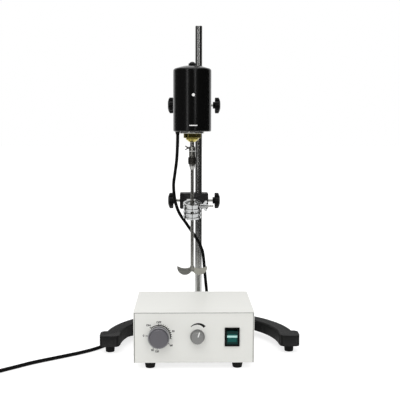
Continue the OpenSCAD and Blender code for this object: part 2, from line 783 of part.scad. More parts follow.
// Tray of bent sheet: front panel, floor and rear panel
shaft_hole = 10;
gland_hole = 9;
module box_tray() {
    w = box_w - 2 * sheet - 2 * seat;
    h = box_h - sheet - seat;
    color([0.86, 0.86, 0.83]) in_box() difference() {
        union() {
            translate([-w / 2, 0, 0]) cube([w, box_d, sheet]);
            for (y = [0, box_d - sheet]) translate([-w / 2, y, 0]) cube([w, sheet, h]);
        }
        panel_hole(-timer_left, knob_up, shaft_hole);
        panel_hole(speed_right, knob_up, shaft_hole);
        translate([switch_right - switch_w / 2, -1, switch_up - switch_h / 2])
            cube([switch_w, sheet + 2, switch_h]);
        translate([0, box_d, 0]) {
            panel_hole(mains_at, mains_up, gland_hole + 2 * seat);
            panel_hole(lead_at, rear_up, gland_hole + 2 * seat);
            panel_hole(fuse_at, rear_up, fuse_d + 2 * seat);
        }
    }
}
switch_w = bezel_w - 3;
switch_h = bezel_h - 3;
mains_at = -20;
mains_up = 24;
lead_at = 28;
fuse_at = -62;
rear_up = 38;
fuse_d = 12;

// Cover of bent sheet: top and both sides, a little longer than the tray
module box_cover() {
    color([0.88, 0.88, 0.85]) in_box() translate([-box_w / 2, -lip, 0]) difference() {
        cube([box_w, box_d + 2 * lip, box_h]);
        translate([sheet, -1, -1]) cube([box_w - 2 * sheet, box_d + 2 * lip + 2, box_h - sheet + 1]);
        for (x = [0, box_w], y = cover_screw_y) translate([x, lip + y, screw_up]) along_x()
            cylinder(h = 10 * sheet, d = 3.4, center = true);
    }
}
cover_screw_in = 22;
cover_screw_y = [cover_screw_in, box_d - cover_screw_in];
screw_up = 8;

// Four screws that hold the cover on the tray's flanges
module cover_screws() {
    color("silver") in_box() for (side = [-1, 1], y = cover_screw_y)
        translate([side * box_w / 2, y, screw_up]) rotate([0, side * 90, 0]) {
            cylinder(h = 1.6, d1 = 6.4, d2 = 4.4);
            translate([0, 0, -6]) cylinder(h = 6, d = 3);
        }
}

// Four rubber feet under the box
module box_feet() {
    color([0.1, 0.1, 0.1]) translate([-box_x, box_front, 0])
        for (side = [-1, 1], y = [foot_in.y, box_d - foot_in.y])
            translate([side * (box_w / 2 - foot_in.x), y, 0])
            cylinder(h = box_foot, d1 = box_foot_d - 4, d2 = box_foot_d);
}
foot_in = [27.5, 15.5];
box_foot_d = 20;

// Timer behind the panel, with its shaft
timer_shaft = 6;
timer_case = [46, 28];
module timer_unit() {
    color([0.7, 0.7, 0.66]) in_box() translate([-timer_left, 0, knob_up]) {
        translate([0, sheet + timer_case.y, 0]) to_front() cylinder(h = timer_case.y, d = timer_case.x);
        translate([0, sheet, 0]) to_front() cylinder(h = timer_out - 4, d = timer_shaft);
    }
}

// Speed potentiometer behind the panel, with its shaft
speed_case = [24, 12];
module speed_control() {
    color([0.35, 0.4, 0.55]) in_box() translate([speed_right, 0, knob_up]) {
        translate([0, sheet + speed_case.y, 0]) to_front() cylinder(h = speed_case.y, d = speed_case.x);
        translate([0, sheet, 0]) to_front() cylinder(h = speed_out - 3, d = timer_shaft);
    }
}

// A knob made along Z, panel side at z = 0: skirt, fluted grip and bore
flute_r = 0.9;
module knob(d, skirt, h, flutes) {
    grip = d / 2 - 2;
    difference() {
        union() {
            cylinder(h = skirt, d = d, $fn = 64);
            cylinder(h = h - 1.4, r = grip, $fn = 64);
            translate([0, 0, h - 1.4]) cylinder(h = 1.4, r1 = grip, r2 = grip - 1.4, $fn = 64);
        }
        for (i = [0:flutes - 1]) rotate(i * 360 / flutes)
            translate([grip + flute_r / 3, 0, skirt + 1]) cylinder(h = h, r = flute_r, $fn = 16);
        translate([0, 0, -1]) cylinder(h = h - 2, d = timer_shaft + 2 * run);
    }
}
module timer_knob() {
    color([0.36, 0.35, 0.38]) in_box() translate([-timer_left, -gap, knob_up]) to_front()
        knob(timer_d, 3, timer_out - gap, 24);
}
module speed_knob() {
    color([0.42, 0.43, 0.42]) in_box() translate([speed_right, -gap, knob_up]) to_front()
        knob(speed_d, 2, speed_out - gap, 18);
}

// Body of the rocker switch with its bezel
well_w = bezel_w - 2 * bezel_rim;
well_h = bezel_h - 2 * bezel_rim;
bezel_t = 2;
switch_d = 20;
module switch_body() {
    color([0.05, 0.05, 0.05]) in_box() translate([switch_right, 0, switch_up]) difference() {
        union() {
            translate([-bezel_w / 2, -bezel_t, -bezel_h / 2]) cube([bezel_w, bezel_t, bezel_h]);
            translate([-switch_w / 2 + seat, -0.1, -switch_h / 2 + seat])
                cube([switch_w - 2 * seat, switch_d, switch_h - 2 * seat]);
        }
        translate([-well_w / 2, -bezel_t - 1, -well_h / 2])
            cube([well_w, rocker_deep + bezel_t + 4, well_h]);
        rocker_pin(pivot_bite + run, pivot_d + 2 * run);
    }
}

// Cross pin of the rocker, from wall to wall of the well and a little into each
pivot_d = 2.6;
pivot_bite = 0.8;
module rocker_pin(extra, d) {
    translate([-well_w / 2 - extra, rocker_deep / 2, 0]) along_x() cylinder(h = well_w + 2 * extra, d = d);
}

// Rocker that tips on its cross pin
rocker_deep = 6;
rocker_tip = 7;
module rocker() {
    h = well_h / 2 - gap;
    color([0.1, 0.45, 0.38]) in_box() translate([switch_right, 0, switch_up]) {
        translate([gap - well_w / 2, rocker_deep / 2, 0]) rotate([rocker_tip, 0, 0]) rotate([90, 0, 90])
            linear_extrude(well_w - 2 * gap)
                polygon([
                    [2, -3], [2, 3], [-3, h - 1.5], [-7, h - 1.2], [-5.4, 0], [-7, 1.2 - h], [-3, 1.5 - h]
                ]);
        rocker_pin(pivot_bite, pivot_d);
    }
}

// Circuit board on four posts
board_at = [10, 40, 0];
board_rear = 28.5;
board = [100, box_d - board_at.y - board_rear, 1.6];
post_h = 8;
post_d = 6;
module control_board() {
    color([0.12, 0.35, 0.2]) in_box() translate(board_at + [0, 0, sheet]) {
        translate([-board.x / 2, 0, post_h]) cube(board);
        for (x = [-1, 1], y = [post_d, board.y - post_d]) translate([x * (board.x / 2 - post_d), y, 0])
            cylinder(h = post_h, d = post_d);
    }
}

// Transformer, capacitors and heat sink on the board
transformer = [40, 44, 34];
can = [13, 26];
fin = [1.4, 48, 28];
fin_pitch = 3;
fins = 6;
module board_parts() {
    color([0.3, 0.3, 0.32]) in_box() translate(board_at + [0, 0, sheet + post_h + board.z]) {
        translate([-transformer.x, board.y / 3, 0]) cube(transformer);
        for (i = [0.7:2.7]) translate([1.2 * can.x, i * 1.5 * can.x, 0]) cylinder(h = can.y, d = can.x);
        translate([board.x * 0.3, board.y * 0.3, 0]) {
            for (i = [0:fins - 1]) translate([i * fin_pitch, 0, 0]) cube(fin);
            cube([fins * fin_pitch, fin.y, 2 * fin.x]);
        }
    }
}

// Fuse holder in the rear panel and its bayonet cap
fuse_in = 30;
fuse_bore = 7;
fuse_rim = 2;
cap_out = 6;
module fuse_holder() {
    color([0.06, 0.06, 0.06]) in_box() translate([fuse_at, box_d, rear_up]) rotate([-90, 0, 0])
    difference() {
        union() {
            translate([0, 0, -fuse_in]) cylinder(h = fuse_in, d = fuse_d);
            cylinder(h = fuse_rim, d = fuse_d + 2 * fuse_rim);
        }
        translate([0, 0, -0.8 * fuse_in]) cylinder(h = fuse_in, d = fuse_bore);
    }
}
module fuse_cap() {
    color([0.08, 0.08, 0.08]) in_box() translate([fuse_at, box_d + fuse_rim + seat, rear_up])
    rotate([-90, 0, 0]) {
        cylinder(h = cap_out, d = fuse_d);
        translate([0, 0, -fuse_bore]) cylinder(h = fuse_bore, d = fuse_bore - 2 * gap);
        translate([-fuse_rim / 2, -fuse_d / 2, cap_out]) cube([fuse_rim, fuse_d, 1.5]);
    }
}

// Strain reliefs of the two cords, in the rear panel
mains_relief = 24;
lead_relief = 20;
relief_flange = [14, 2.4];
module relief(x, z, long, cord) {
    color([0.06, 0.06, 0.06]) in_box() translate([x, box_d, z]) rotate([-90, 0, 0]) {
        translate([0, 0, -gland_h - sheet]) cylinder(h = gland_h + 2 * sheet, d = gland_hole);
        cylinder(h = relief_flange.y, d = relief_flange.x);
        translate([0, 0, relief_flange.y / 2])
            cylinder(h = long - relief_flange.y / 2, d1 = gland_hole, d2 = cord + 1);
    }
}
module mains_gland() { relief(mains_at, mains_up, mains_relief, mains_d); }
module lead_gland() { relief(lead_at, rear_up, lead_relief, lead_d); }

// Routes of the cords, from their glands. The motor lead hangs in a long bow behind
// the shaft and in front of the pole, then drops behind the box.
lead_route = [
    [-40.8, 27.5, 397.9], [-40.8, 27.5, 390], [-41.4, 32, 373], [-43, 43.5, 348], [-46.5, 57.5, 322],
    [-49, 65.5, 303], [-48.5, 68.5, 285], [-46, 69, 268], [-41.5, 69, 252.5], [-34.5, 69, 238.5],
    [-25.5, 69, 226], [-1.5, 69, 190], [4.5, 69, 177], [8.5, 69, 162], [13, 71.5, 115], [15, 73, 95],
    [16, 73, 80], [16, 68.5, 65], [16, 60, 55.5], [16, 50, 50.9], [16, 41.4, 50]
];
// The mains cord leaves the box at the rear, runs to the left under the horseshoe's arm
// and out over the table
mains_route = [
    [-32, 45.3, 36], [-32, 49, 36], [-34, 60, 34], [-42, 74, 29], [-56, 83, 21], [-72, 84.5, 12.5],
    [-88, 85.5, 6.5], [-104, 84, 3.25], [-132, 71.5, 3.25], [-144, 57, 3.25], [-154, 37, 3.25],
    [-165, 16, 3.25], [-179, -7, 3.25], [-196, -29, 3.25], [-217, -49, 3.25], [-241, -67.5, 3.25], [-290, -104, 3.25], [-313, -125.5, 3.25],
    [-357, -167, 3.25], [-380, -185.5, 3.25]
];
// Coil of the rest of the mains cord, out of sight at the left, and its plug
coil_at = [-402, -157];
coil_r = 33;
coil_layers = 3;
plug_y = coil_at.y + 16;

// Vectors along a route
function unit(v) = v / norm(v);
function square_to(n, t) = unit(n - t * (n * t));
function bend(a, b, c, d, t) =
    0.5 * (2 * b + (c - a) * t + (2 * a - 5 * b + 4 * c - d) * t * t + (3 * b - a - 3 * c + d) * t * t * t);
function smooth(p, k) = [
    for (i = [0:len(p) - 2], j = [0:k - 1])
        bend(p[max(i - 1, 0)], p[i], p[i + 1], p[min(i + 2, len(p) - 1)], j / k),
    p[len(p) - 1]
];
function heading(p, i) = unit(p[min(i + 1, len(p) - 1)] - p[max(i - 1, 0)]);
function normals(p, n0) = [
    for (i = 0, n = square_to(n0, heading(p, 0)); i < len(p); i = i + 1,
        n = i < len(p) ? square_to(n, heading(p, i)) : n) n
];

// A cord swept along a route, with n sides and k rings to each stretch
module cord(route, d, n, k) {
    p = smooth(route, k);
    up = normals(p, [0.3, 0.9, 0.2]);
    last = len(p) - 1;
    ends_at = [unit(route[1] - route[0]), unit(route[len(route) - 1] - route[len(route) - 2])];
    rings = [
        for (i = [0:last], j = [0:n - 1])
            let (h = i == 0 ? ends_at[0] : i == last ? ends_at[1] : heading(p, i), u = square_to(up[i], h))
            p[i] + d / 2 * (cos(j * 360 / n) * u + sin(j * 360 / n) * cross(h, u))
    ];
    sides = [
        for (i = [0:last - 1], j = [0:n - 1])
            [i * n + j, i * n + (j + 1) % n, (i + 1) * n + (j + 1) % n, (i + 1) * n + j]
    ];
    halves = [for (s = sides) each [[s[0], s[2], s[1]], [s[0], s[3], s[2]]]];
    ends = [[for (j = [0:n - 1]) j], [for (j = [0:n - 1]) last * n + n - 1 - j]];
    polyhedron(rings, concat(halves, ends));
}
module motor_lead() { color([0.03, 0.03, 0.03]) cord(lead_route, lead_d, 10, 2); }
module mains_cord() { color([0.03, 0.03, 0.03]) cord(mains_route, mains_d, 10, 2); }
module mains_coil() {
    color([0.03, 0.03, 0.03]) translate([coil_at.x, coil_at.y, 0]) rotate_extrude()
        translate([coil_r - mains_d, 0]) square([2 * mains_d, coil_layers * mains_d]);
}

// Moulded plug beside the coil, with its strain relief and two blades
plug_size = [34, 38, 22];
plug_relief = 20;
blade = [2, 18, 6.4];
blade_pitch = 13;
module mains_plug() {
    color([0.04, 0.04, 0.04]) translate([coil_at.x - coil_r - mains_d / 2, plug_y, plug_size.z / 2]) {
        rotate([-90, 0, 0]) cylinder(h = plug_relief, d1 = mains_d + 1, d2 = mains_d + 5);
        translate([0, plug_relief + plug_size.y / 2 - 2, -plug_size.z / 2]) slab(plug_size, 7);
        for (side = [-1, 1])
            translate([side * blade_pitch / 2 - blade.x / 2, plug_relief + plug_size.y - 3, -blade.z / 2])
                cube(blade);
    }
}

stand_base();
base_feet();
rod_nut();
box_tray();
box_cover();
cover_screws();
box_feet();
timer_unit();
speed_control();
switch_body();
control_board();
board_parts();
fuse_holder();
mains_gland();
lead_gland();
mains_cord();
mains_coil();
mains_plug();
motor_lead();
stand_rod();
upper_boss();
upper_rod_screw();
upper_rod_knob();
upper_arm_screw();
upper_arm_knob();
motor_arm();
motor_shell();
motor_cap_nut();
motor_end_plate();
bearing_nut();
motor_magnets();
motor_bearings();
brush_gear();
motor_gland();
motor_shaft();
rotor_core();
rotor_winding();
shaft_coupling();
chuck_body();
chuck_jaws();
wing_screw();
chuck_sleeve();
stirring_rod();
paddle();
lower_boss();
lower_rod_screw();
lower_rod_knob();
lower_arm_screw();
lower_arm_knob();
clamp_rod();
clamp_yoke();
left_jaw();
right_jaw();
jaw_pins();
jaw_screw();
wing_nut();
timer_knob();
speed_knob();
rocker();
fuse_cap();
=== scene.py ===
"""Looks of an overhead laboratory stirrer.

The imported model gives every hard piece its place. This script dresses those
pieces in procedural finishes, models the pieces that need softer edges or
finer form, lays the two cords and sets up the studio. Lengths are metres.
"""

from __future__ import annotations

import json
import logging
import math
from collections.abc import Callable, Sequence
from dataclasses import dataclass
from enum import Enum

import bpy
from mathutils import Matrix, Vector

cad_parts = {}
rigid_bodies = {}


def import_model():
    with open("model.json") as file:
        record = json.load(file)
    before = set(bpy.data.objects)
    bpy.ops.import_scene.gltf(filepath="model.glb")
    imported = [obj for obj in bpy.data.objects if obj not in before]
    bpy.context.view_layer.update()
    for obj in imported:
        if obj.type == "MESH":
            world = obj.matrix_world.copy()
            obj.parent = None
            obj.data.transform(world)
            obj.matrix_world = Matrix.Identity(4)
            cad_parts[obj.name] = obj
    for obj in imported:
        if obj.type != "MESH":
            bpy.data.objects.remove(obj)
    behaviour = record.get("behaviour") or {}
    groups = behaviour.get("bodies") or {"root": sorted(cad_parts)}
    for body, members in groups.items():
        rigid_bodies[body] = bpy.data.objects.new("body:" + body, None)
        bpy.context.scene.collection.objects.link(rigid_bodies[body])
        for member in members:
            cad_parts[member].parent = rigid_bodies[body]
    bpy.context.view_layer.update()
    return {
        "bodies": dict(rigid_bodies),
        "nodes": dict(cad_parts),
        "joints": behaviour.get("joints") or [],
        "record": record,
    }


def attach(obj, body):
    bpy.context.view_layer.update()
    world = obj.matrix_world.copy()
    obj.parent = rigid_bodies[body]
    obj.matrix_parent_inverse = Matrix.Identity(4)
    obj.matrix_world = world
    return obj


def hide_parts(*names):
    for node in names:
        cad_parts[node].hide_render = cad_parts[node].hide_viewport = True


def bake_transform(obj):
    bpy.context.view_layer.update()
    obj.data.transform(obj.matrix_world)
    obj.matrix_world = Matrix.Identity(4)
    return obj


LOG = logging.getLogger("stirrer")
MM = 0.001
Colour = tuple[float, float, float]
Point = tuple[float, float, float]
Edges = tuple[tuple[str, float], ...]
FINE_DETAIL, BROAD_DETAIL = 4.0, 3.0
BROAD_SCALE = 14.0
WORN_FROM, WORN_TO = 0.51, 0.6
CELL_BEND, CELL_SMOOTHNESS = 0.0015, 0.4
MERGE_DISTANCE = 0.002 * MM
FLAT_ANGLE = math.radians(0.5)
SHAFT_AXIS = (-13.5, 27.5)
PANEL_FACE = -137.5
TIMER_CENTRE = (-71.5, 57.5)


class Pattern(Enum):
    """What the surface detail of a finish looks like."""

    GRAIN = "grain"
    WRINKLE = "wrinkle"


def fill(tree: bpy.types.NodeTree, node: bpy.types.Node, inputs: dict[int | str, object]) -> None:
    """Links or sets a shader node's inputs.

    Args:
        tree: The node tree.
        node: The node.
        inputs: For each input the socket that feeds it, or its value.
    """
    for key, given in inputs.items():
        if isinstance(given, bpy.types.NodeSocket):
            tree.links.new(given, node.inputs[key])
        else:
            node.inputs[key].default_value = given


def add_node(tree: bpy.types.NodeTree, kind: str, inputs: dict[int | str, object],
             **settings: object) -> bpy.types.Node:
    """Adds a shader node.

    Args:
        tree: The node tree.
        kind: Its type.
        inputs: For each input the socket that feeds it, or its value.
        **settings: Its other settings.

    Returns:
        The node.
    """
    node = tree.nodes.new(kind)
    for key, value in settings.items():
        setattr(node, key, value)
    fill(tree, node, inputs)
    return node


def calculate(tree: bpy.types.NodeTree, operation: str, *terms: object,
              **settings: object) -> bpy.types.NodeSocket:
    """Adds one step of arithmetic to a node tree.

    Args:
        tree: The node tree.
        operation: What it does, such as "MULTIPLY".
        *terms: Sockets or numbers.
        **settings: The node's other settings.

    Returns:
        The result.
    """
    return add_node(tree, "ShaderNodeMath", dict(enumerate(terms)), operation=operation,
                    **settings).outputs[0]


class DetailGroup:
    """A shader node group that varies colour, roughness and height over a surface."""

    inputs: tuple[tuple[str, str, object], ...] = (
        ("Colour", "Color", None), ("Tint", "Color", None), ("Amount", "Float", 0.1),
        ("Scale", "Float", 200.0), ("Roughness", "Float", 0.5), ("Spread", "Float", 0.1),
        ("Stretch", "Vector", (1.0, 1.0, 1.0)), ("Worn", "Color", None), ("Wear", "Float", 0.0))
    outputs: tuple[tuple[str, str], ...] = (("Colour", "Color"), ("Roughness", "Float"),
                                            ("Height", "Float"))

    def __init__(self, name: str, pattern: Pattern) -> None:
        """Builds the group once.

        Args:
            name: Name of the node group.
            pattern: What the detail looks like.
        """
        self.tree = bpy.data.node_groups.new(name, "ShaderNodeTree")
        for label, kind, value in self.inputs:
            made = self.tree.interface.new_socket(label, in_out="INPUT",
                                                  socket_type="NodeSocket" + kind)
            if value is not None:
                made.default_value = value
        for label, kind in self.outputs:
            self.tree.interface.new_socket(label, in_out="OUTPUT",
                                           socket_type="NodeSocket" + kind)
        self._wire(pattern)

    def _wire(self, pattern: Pattern) -> None:
        """Places and links the nodes inside the group.

        Args:
            pattern: What the detail looks like.
        """
        tree = self.tree
        given = tree.nodes.new("NodeGroupInput").outputs
        place = tree.nodes.new("ShaderNodeTexCoord").outputs["Object"]
        stretch = add_node(tree, "ShaderNodeVectorMath", {0: place, 1: given["Stretch"]},
                           operation="MULTIPLY").outputs[0]
        grain = add_node(tree, "ShaderNodeTexNoise", {
            "Vector": stretch, "Scale": given["Scale"], "Detail": FINE_DETAIL}).outputs["Fac"]
        height = grain
        if pattern is Pattern.WRINKLE:
            height = self._wrinkle(stretch, given["Scale"], grain)
        broad = add_node(tree, "ShaderNodeTexNoise", {
            "Vector": place, "Scale": BROAD_SCALE, "Detail": BROAD_DETAIL}).outputs["Fac"]
        share = calculate(tree, "MULTIPLY", calculate(tree, "ADD", broad, height), given["Amount"])
        colour = self._mix(share, given["Colour"], given["Tint"])
        rough = calculate(tree, "MULTIPLY_ADD", calculate(tree, "SUBTRACT", height, 0.5),
                          given["Spread"], given["Roughness"], use_clamp=True)
        worn = self._mix(self._edges(grain, given["Wear"]), colour, given["Worn"])
        add_node(tree, "NodeGroupOutput", {"Colour": worn, "Roughness": rough, "Height": height})

    def _mix(self, share: bpy.types.NodeSocket, first: bpy.types.NodeSocket,
             second: bpy.types.NodeSocket) -> bpy.types.NodeSocket:
        """Mixes two colours.

        Args:
            share: How much of the second colour there is.
            first: The first colour.
            second: The second colour.

        Returns:
            The mixed colour.
        """
        return add_node(self.tree, "ShaderNodeMix", {"Factor": share, "A": first, "B": second},
                        data_type="RGBA").outputs["Result"]

    def _edges(self, grain: bpy.types.NodeSocket,
               wear: bpy.types.NodeSocket) -> bpy.types.NodeSocket:
        """Finds the rubbed edges of a piece, broken up by the grain.

        Args:
            grain: The fine grain of the surface.
            wear: How strongly the edges are rubbed.

        Returns:
            The mask of the rubbed edges.
        """
        tree = self.tree
        shape = tree.nodes.new("ShaderNodeNewGeometry").outputs["Pointiness"]
        sharp = add_node(tree, "ShaderNodeMapRange", {
            "Value": shape, "From Min": WORN_FROM, "From Max": WORN_TO}).outputs["Result"]
        broken = calculate(tree, "MULTIPLY", sharp, grain)
        return calculate(tree, "MULTIPLY", broken, wear, use_clamp=True)

    def _wrinkle(self, vector: bpy.types.NodeSocket, scale: bpy.types.NodeSocket,
                 grain: bpy.types.NodeSocket) -> bpy.types.NodeSocket:
        """Adds the crinkled cells of a wrinkle paint.

        Args:
            vector: Where the pattern is read.
            scale: How fine it is.
            grain: The fine grain that bends the cells.

        Returns:
            The height of the wrinkled surface.
        """
        bend = add_node(self.tree, "ShaderNodeVectorMath", {
            0: grain, 1: (CELL_BEND, CELL_BEND, CELL_BEND), 2: vector}, operation="MULTIPLY_ADD")
        return add_node(self.tree, "ShaderNodeTexVoronoi", {
            "Smoothness": CELL_SMOOTHNESS, "Vector": bend.outputs[0], "Scale": scale},
            feature="SMOOTH_F1").outputs["Distance"]


class FinishLibrary:
    """The shared node groups, each built once."""

    groups: dict[Pattern, DetailGroup] = {}

    @classmethod
    def group(cls, pattern: Pattern) -> bpy.types.NodeTree:
        """Gives the node group of a pattern.

        Args:
            pattern: What the detail looks like.

        Returns:
            The shared node tree.
        """
        if pattern not in cls.groups:
            cls.groups[pattern] = DetailGroup("detail_" + pattern.value, pattern)
        return cls.groups[pattern].tree


@dataclass(frozen=True)
class Finish:
    """One procedural finish, built as a Principled material with surface detail.

    A brushed or turned surface is a grain stretched along or round the piece.
    """

    name: str
    colour: Colour
    tint: Colour
    roughness: float = 0.5
    spread: float = 0.15
    metallic: float = 0.0
    specular: float = 0.5
    pattern: Pattern = Pattern.GRAIN
    scale: float = 400.0
    amount: float = 0.12
    bump: float = 0.1
    relief: float = 0.0002
    stretch: tuple[float, float, float] = (1.0, 1.0, 1.0)
    worn: Colour = (0.3, 0.3, 0.3)
    wear: float = 0.0

    def material(self) -> bpy.types.Material:
        """Builds the material, or gives the one that is there.

        Returns:
            The material.
        """
        made = bpy.data.materials.get(self.name)
        if made is not None:
            return made
        made = bpy.data.materials.new(self.name)
        made.use_nodes = True
        tree = made.node_tree
        detail = add_node(tree, "ShaderNodeGroup", {
            "Colour": (*self.colour, 1.0), "Tint": (*self.tint, 1.0), "Amount": self.amount,
            "Scale": self.scale, "Roughness": self.roughness, "Spread": self.spread,
            "Stretch": self.stretch, "Worn": (*self.worn, 1.0), "Wear": self.wear},
            node_tree=FinishLibrary.group(self.pattern)).outputs
        bump = add_node(tree, "ShaderNodeBump", {
            "Strength": self.bump, "Distance": self.relief, "Height": detail["Height"]})
        fill(tree, tree.nodes["Principled BSDF"], {
            "Base Color": detail["Colour"], "Roughness": detail["Roughness"],
            "Normal": bump.outputs["Normal"], "Metallic": self.metallic,
            "Specular IOR Level": self.specular})
        return made


class Finishes:
    """Every finish of the stirrer, in a maker's plain words, and the colours that paint a
    highlight, a glow and a shadow.
    """

    casting = Finish("wrinkle_black_casting", (0.003, 0.003, 0.003), (0.022, 0.022, 0.022),
                     0.6, 0.4, specular=0.06, pattern=Pattern.WRINKLE, scale=750.0, amount=0.3,
                     bump=0.6, relief=0.0006, worn=(0.07, 0.07, 0.07), wear=0.5)
    boss = Finish("cast_black_enamel", (0.004, 0.004, 0.005), (0.012, 0.012, 0.013), 0.45, 0.2,
                  specular=0.2, scale=700.0, bump=0.2, relief=0.0003, worn=(0.1, 0.1, 0.1),
                  wear=0.5)
    shell = Finish("satin_black_enamel", (0.002, 0.002, 0.002), (0.004, 0.004, 0.0035), 0.22, 0.05,
                   specular=0.3, scale=900.0, amount=0.2, bump=0.02, worn=(0.03, 0.03, 0.03),
                   wear=0.3)
    knob = Finish("moulded_black", (0.004, 0.004, 0.004), (0.009, 0.009, 0.009), 0.5, 0.2,
                  specular=0.15, scale=500.0, worn=(0.04, 0.04, 0.04), wear=0.4)
    rubber = Finish("black_rubber", (0.006, 0.006, 0.006), (0.016, 0.016, 0.016), 0.75, 0.2,
                    specular=0.15, scale=600.0, worn=(0.05, 0.05, 0.05), wear=0.3)
    jacket = Finish("black_cord_jacket", (0.003, 0.003, 0.003), (0.007, 0.007, 0.007), 0.6, 0.1,
                    specular=0.07, scale=500.0, bump=0.03)
    box = Finish("off_white_powder_coat", (0.775, 0.775, 0.735), (0.83, 0.83, 0.795), 0.45, 0.15,
                 specular=0.35, scale=1500.0, amount=0.25, bump=0.1, relief=0.0001,
                 worn=(0.8, 0.8, 0.77), wear=0.5)
    chrome = Finish("pole_chrome", (0.47, 0.47, 0.46), (0.42, 0.42, 0.41), 0.2, 0.03, metallic=1.0,
                    scale=60.0, stretch=(1.0, 1.0, 0.05), bump=0.001, relief=0.0001)
    steel = Finish("turned_steel", (0.44, 0.435, 0.40), (0.34, 0.335, 0.305), 0.28, 0.1,
                   metallic=1.0, scale=200.0, stretch=(1.0, 1.0, 0.05), bump=0.015,
                   relief=0.0001)
    paddle = Finish("pressed_steel", (0.46, 0.455, 0.42), (0.35, 0.345, 0.31), 0.4, 0.2,
                    metallic=1.0, scale=500.0, amount=0.3, bump=0.05)
    dark_steel = Finish("blackened_steel", (0.06, 0.056, 0.05), (0.035, 0.033, 0.03), 0.36, 0.2,
                        metallic=1.0, scale=600.0, worn=(0.25, 0.25, 0.23), wear=0.8)
    bright = Finish("bright_steel", (0.50, 0.50, 0.48), (0.38, 0.38, 0.36), 0.25, 0.12,
                    metallic=1.0, scale=300.0, stretch=(0.1, 1.0, 1.0), bump=0.02,
                    relief=0.0001)
    zinc = Finish("bright_zinc", (0.54, 0.55, 0.55), (0.32, 0.33, 0.33), 0.14, 0.12, metallic=1.0,
                  scale=250.0, amount=0.25, bump=0.12, relief=0.0003)
    white_metal = Finish("plated_ring", (0.88, 0.88, 0.87), (0.74, 0.74, 0.73), 0.35, 0.1,
                         metallic=0.4, scale=300.0, bump=0.03)
    brass = Finish("turned_brass", (0.55, 0.46, 0.12), (0.30, 0.245, 0.05), 0.12, 0.1, metallic=1.0,
                   scale=400.0, stretch=(1.0, 1.0, 8.0), bump=0.05)
    alloy = Finish("cast_alloy", (0.66, 0.66, 0.63), (0.52, 0.52, 0.49), 0.35, 0.2, metallic=1.0,
                   scale=500.0, bump=0.1)
    timer_grey = Finish("plum_grey_plastic", (0.098, 0.094, 0.106), (0.14, 0.135, 0.15), 0.42, 0.15,
                        scale=600.0, bump=0.05, worn=(0.2, 0.2, 0.21), wear=0.6)
    # Painted highlight: a pale grey ring where the timer knob's skirt bevel catches the light; the
    # knob itself is plum grey.
    timer_rim_highlight = Finish("painted_rim_highlight", (0.34, 0.34, 0.35), (0.42, 0.42, 0.43), 0.35, 0.15,
                       scale=600.0, bump=0.04)
    speed_grey = Finish("grey_plastic", (0.20, 0.20, 0.195), (0.26, 0.26, 0.25), 0.42, 0.15,
                        scale=600.0, bump=0.05, worn=(0.36, 0.36, 0.35), wear=0.5)
    bezel = Finish("black_gloss_plastic", (0.002, 0.002, 0.002), (0.005, 0.005, 0.005), 0.35, 0.1,
                   specular=0.08, scale=500.0, bump=0.02)
    green = Finish("green_translucent_plastic", (0.001, 0.014, 0.012), (0.002, 0.035, 0.03), 0.25,
                   0.1, specular=0.12, scale=60.0, amount=0.5, bump=0.01)
    # Painted glow: a lighter green halo round the bright band of the lit rocker; the material sends
    # out no light.
    glow = Finish("painted_halo_glow", (0.003, 0.055, 0.048), (0.006, 0.105, 0.09), 0.22, 0.1,
                  specular=0.12, scale=80.0, amount=0.5, bump=0.01)
    # Painted glow: the bright band of the lit rocker, a plain colour that sends out no light.
    painted_glow = Finish("painted_glow_band", (0.34, 0.66, 0.60), (0.52, 0.84, 0.78), 0.2, 0.1, specular=0.3,
                 scale=80.0, amount=0.6, bump=0.01)
    ink = Finish("black_ink", (0.005, 0.005, 0.005), (0.016, 0.016, 0.016), 0.6, 0.1, specular=0.2,
                 scale=900.0)
    white = Finish("white_paint", (0.86, 0.86, 0.84), (0.9, 0.9, 0.9), 0.5, 0.1, scale=900.0)
    # Painted shadow: the dark line that the cover's lip casts round the front panel.
    lip_shadow = Finish("painted_lip_shadow", (0.05, 0.05, 0.05), (0.12, 0.12, 0.12), 0.7, 0.1, specular=0.1,
                  scale=300.0, amount=0.6)
    copper = Finish("varnished_copper", (0.5, 0.18, 0.06), (0.35, 0.12, 0.04), 0.35, 0.2,
                    metallic=1.0, scale=500.0)
    laminate = Finish("green_laminate", (0.02, 0.12, 0.05), (0.03, 0.16, 0.07), 0.4, 0.2,
                      scale=300.0)
    pale_plastic = Finish("pale_plastic", (0.5, 0.5, 0.46), (0.58, 0.58, 0.54), 0.5, 0.2,
                          scale=300.0)
    brown_plastic = Finish("brown_phenolic", (0.10, 0.05, 0.02), (0.15, 0.08, 0.04), 0.5, 0.2,
                           scale=300.0)


